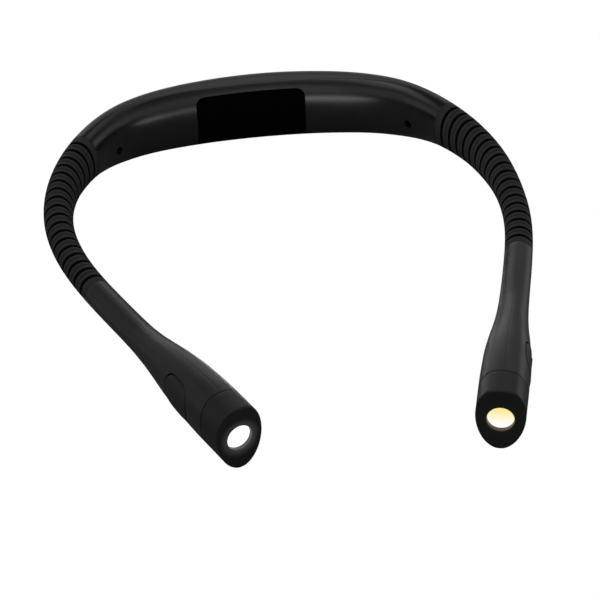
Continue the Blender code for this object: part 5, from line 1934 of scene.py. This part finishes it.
@dataclass
class WireRoute:
    """Way of a lamp wire from the main board, past the screw boss and through the core, to the lamp."""

    line: CentreLine
    board: tuple[float, float, float] = (0.0365, 0.0230, 0.0150)
    battery_length: float = 0.040
    wire: float = 0.0015
    gap: float = 0.0003
    lap: float = 0.0020
    battery_rise: float = 0.0093
    board_rise: float = 0.0048
    boss: tuple[float, float, float] = (0.0678, 0.0015, 0.0011)
    core_reach: float = 0.0122
    neck_share: float = 0.47
    switch_rise: float = 0.0064
    switch_offset: float = -0.0014
    switch_length: float = 0.0150
    button_distance: float = 0.0278
    led_distance: float = 0.0097

    def places(self) -> list[tuple[float, float, float]]:
        """Stations, offsets and heights that the wire passes."""
        form = self.line.form
        station, length, height = self.board
        inside, outside = station - length / 2, station + length / 2
        if self.line.side is Side.LEFT:
            above = height / 2 + self.wire / 2 + self.gap
            start = [(-inside - self.lap, 0.0, above), (-inside + self.lap, 0.0, self.battery_rise),
                     (self.battery_length / 2 + self.lap, 0.0, self.battery_rise)]
        else:
            start = [(outside + self.gap, 0.0, self.board_rise)]
        middle, reach, rise = self.boss
        start += [(middle - reach, 0.0, rise), (middle + reach, 0.0, rise)]
        button = form.face - self.button_distance
        start += [(form.housing_half - self.core_reach, 0.0, 0.0),
                  (form.head_start + self.neck_share * form.head_length, 0.0, 0.0)]
        start += [(button + half * self.switch_length, self.switch_offset, self.switch_rise)
                  for half in (-0.5, 0.5)]
        return [*start, (form.face - self.led_distance, 0.0, self.switch_rise)]


@dataclass
class Studio:
    """Plain pale floor, soft lights and the camera of the picture."""

    aim: Vector = field(default_factory=lambda: Vector((-0.0028845, -0.1521832, 0.0135)))
    azimuth: float = -6.37877
    elevation: float = 32.49468
    roll: float = -2.39371
    distance: float = 0.562067
    focal_pixels: float = 1662.07
    frame_pixels: float = 600.0
    sensor: float = 36.0
    clip_start: float = 0.01
    floor_size: float = 6.0
    floor_level: float = -0.0002
    floor_colour: Colour = (0.24, 0.24, 0.24)
    white_level: float = 1.0
    lobe_reach: float = 24.0
    lobe_core: float = 0.25
    lobes: tuple[tuple[float, float, float], ...] = (
        (0.0, 6.0, 1.30), (60.0, 6.0, 0.62), (90.0, 6.0, 0.45), (120.0, 6.0, 0.41), (150.0, 6.0, 0.41),
        (180.0, 6.0, 0.62), (210.0, 6.0, 0.40), (240.0, 6.0, 0.34), (270.0, 6.0, 0.46), (330.0, 6.0, 0.30),
        (30.0, 28.0, 0.31), (90.0, 28.0, 0.12), (120.0, 28.0, 0.15), (150.0, 28.0, 0.12), (180.0, 28.0, 0.10),
        (210.0, 28.0, 0.12), (240.0, 28.0, 0.15), (270.0, 28.0, 0.10), (300.0, 28.0, 0.17),
        (45.0, 55.0, 0.43), (90.0, 55.0, 0.20), (180.0, 55.0, 0.31), (225.0, 55.0, 0.80), (270.0, 55.0, 0.70))
    card_core: float = 0.6
    cards: tuple[tuple[float, float, float, float], ...] = (
        (0.36, -0.10, 0.26, 1.06), (0.0, 0.36, 0.30, 0.18), (-0.36, -0.10, 0.26, 0.40),
        (-0.006, -0.112, 0.030, 4.6), (0.028, -0.080, 0.024, 4.2))
    room_level: float = 0.07
    overhead_place: Vector = field(default_factory=lambda: Vector((0.0, -0.15, 1.2)))
    overhead_size: Place = (1.0, 1.0)
    overhead_power: float = 1.8

    def camera(self) -> None:
        """Camera at the picture's viewing angle."""
        azimuth, elevation, roll = (math.radians(a) for a in (self.azimuth, self.elevation, self.roll))
        back = Vector((math.sin(azimuth) * math.cos(elevation), -math.cos(azimuth) * math.cos(elevation),
                       math.sin(elevation)))
        right = Vector((math.cos(azimuth), math.sin(azimuth), 0.0))
        up = back.cross(right)
        turned_right = right * math.cos(roll) + up * math.sin(roll)
        turned_up = up * math.cos(roll) - right * math.sin(roll)
        data = bpy.data.cameras.new("picture_camera")
        data.sensor_width = self.sensor
        data.sensor_fit = "AUTO"
        data.lens = self.focal_pixels * self.sensor / self.frame_pixels
        data.clip_start = self.clip_start
        made = linked("picture_camera", data)
        made.matrix_world = Matrix.Translation(self.aim + back * self.distance) @ Matrix(
            (turned_right, turned_up, back)).transposed().to_4x4()
        bpy.context.scene.camera = made

    def overhead(self) -> None:
        """Wide white lamp above the light, which faces its middle."""
        data = bpy.data.lights.new("overhead_light", "AREA")
        data.shape = "RECTANGLE"
        data.size, data.size_y = self.overhead_size
        data.energy = self.overhead_power
        turn = (self.aim - self.overhead_place).to_track_quat("-Z", "Y").to_matrix().to_4x4()
        linked("overhead_light", data).matrix_world = Matrix.Translation(self.overhead_place) @ turn

    def seen_white(self, graph: Graph, lit: bpy.types.NodeSocket) -> bpy.types.NodeSocket:
        """Backdrop that is white where it is looked at straight, while the light meets a darker room.

        Args:
            graph: Graph of the floor or the world.
            lit: What every other ray meets.

        Returns:
            The mixed shader.
        """
        white = graph.add("ShaderNodeEmission", {"Color": (*WHITE, 1.0), "Strength": self.white_level})
        straight = graph.add("ShaderNodeLightPath").outputs["Is Camera Ray"]
        return graph.add("ShaderNodeMixShader", {0: straight, 1: lit, 2: white.outputs[0]}).outputs[0]

    def floor(self) -> None:
        """Plain pale floor with a very fine paper grain."""
        half = self.floor_size / 2
        mesh = bmesh.new()
        corners = [(-half, -half), (half, -half), (half, half), (-half, half)]
        mesh.faces.new([mesh.verts.new((x, y, self.floor_level)) for x, y in corners])
        plane = raw_object("studio_floor", mesh)
        made = Moulded("floor_paper", self.floor_colour, roughness=0.95, grain=0.002, relief=0.00001,
                       mottle=0.01, gloss_change=0.02, specular=0.1).build()
        graph = Graph(made.node_tree)
        shader, end = made.node_tree.nodes["Principled BSDF"], made.node_tree.nodes["Material Output"]
        place = graph.place()
        shine: Any = 0.0
        for x, y, reach, level in self.cards:
            away = graph.measure("DISTANCE", place, (x, y, 0.0))
            patch = graph.ramp(away, (reach * self.card_core, reach), (level, 0.0), smooth=True)
            shine = graph.math("ADD", shine, patch)
        graph.feed(shader, {"Emission Color": (*WHITE, 1.0), "Emission Strength": shine})
        graph.feed(end, {0: self.seen_white(graph, shader.outputs[0])})
        plane.data.materials.append(made)

    def world(self) -> None:
        """Dark room with soft patches of light, each at an azimuth from +Y towards +X and an elevation."""
        world = bpy.data.worlds.new("studio_light")
        world.use_nodes = True
        graph = Graph(world.node_tree)
        room, end = world.node_tree.nodes["Background"], world.node_tree.nodes["World Output"]
        way = graph.add("ShaderNodeTexCoord").outputs["Generated"]
        limits = tuple(math.cos(math.radians(self.lobe_reach * share)) for share in (1.0, self.lobe_core))
        level: Any = self.room_level
        for azimuth, elevation, radiance in self.lobes:
            turn, rise = math.radians(azimuth), math.radians(elevation)
            toward = (math.sin(turn) * math.cos(rise), math.cos(turn) * math.cos(rise), math.sin(rise))
            near = graph.measure("DOT_PRODUCT", way, toward)
            level = graph.math("ADD", level, graph.ramp(near, limits, (0.0, radiance), smooth=True))
        graph.feed(room, {"Color": (*WHITE, 1.0), "Strength": level})
        graph.feed(end, {0: self.seen_white(graph, room.outputs[0])})
        bpy.context.scene.world = world

    def build(self) -> None:
        """Set up the studio."""
        bpy.context.scene.view_settings.view_transform = "Standard"
        self.floor()
        self.world()
        self.overhead()
        self.camera()


# Each lens is a lamp; glow and rim are painted light, emission colours on the cap round and in its opening.
LAMPS = {
    Side.LEFT: LampLight(upper=(1.0, 1.0, 0.985), lower=(1.0, 1.0, 0.985), strength=1.2,
                         glow=(1.0, 1.0, 0.97), glow_strength=0.026, rim=(0.05, 0.05, 0.048)),
    Side.RIGHT: LampLight(upper=(0.956, 0.799, 0.262), lower=(1.0, 0.99, 0.97), strength=1.0,
                          glow=(1.0, 0.85, 0.5), glow_strength=0.001, rim=(0.062, 0.038, 0.016))}
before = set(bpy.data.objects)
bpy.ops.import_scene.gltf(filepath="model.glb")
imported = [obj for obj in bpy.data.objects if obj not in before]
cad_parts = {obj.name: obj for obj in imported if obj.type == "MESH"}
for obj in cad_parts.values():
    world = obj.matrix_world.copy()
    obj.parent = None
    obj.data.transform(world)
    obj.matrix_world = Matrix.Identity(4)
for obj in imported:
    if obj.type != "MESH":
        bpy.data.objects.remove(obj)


def main() -> None:
    """Build the dressed light and its studio, and report each piece."""
    logging.basicConfig(level=logging.INFO, format="%(name)s: %(message)s")
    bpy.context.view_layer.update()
    finishes = Finishes()
    form = LightForm()
    lines = {side: CentreLine(form, side) for side in Side}
    ribs, winding = rib_tree(), winding_tree()
    Housing(lines[Side.RIGHT], finishes).build()
    for side, line in lines.items():
        Arm(line, finishes, ribs, winding).build(WireRoute(line).places)
        LampHead(line, finishes, LAMPS[side]).build()
    Studio().build()


if __name__ == "__main__":
    main()
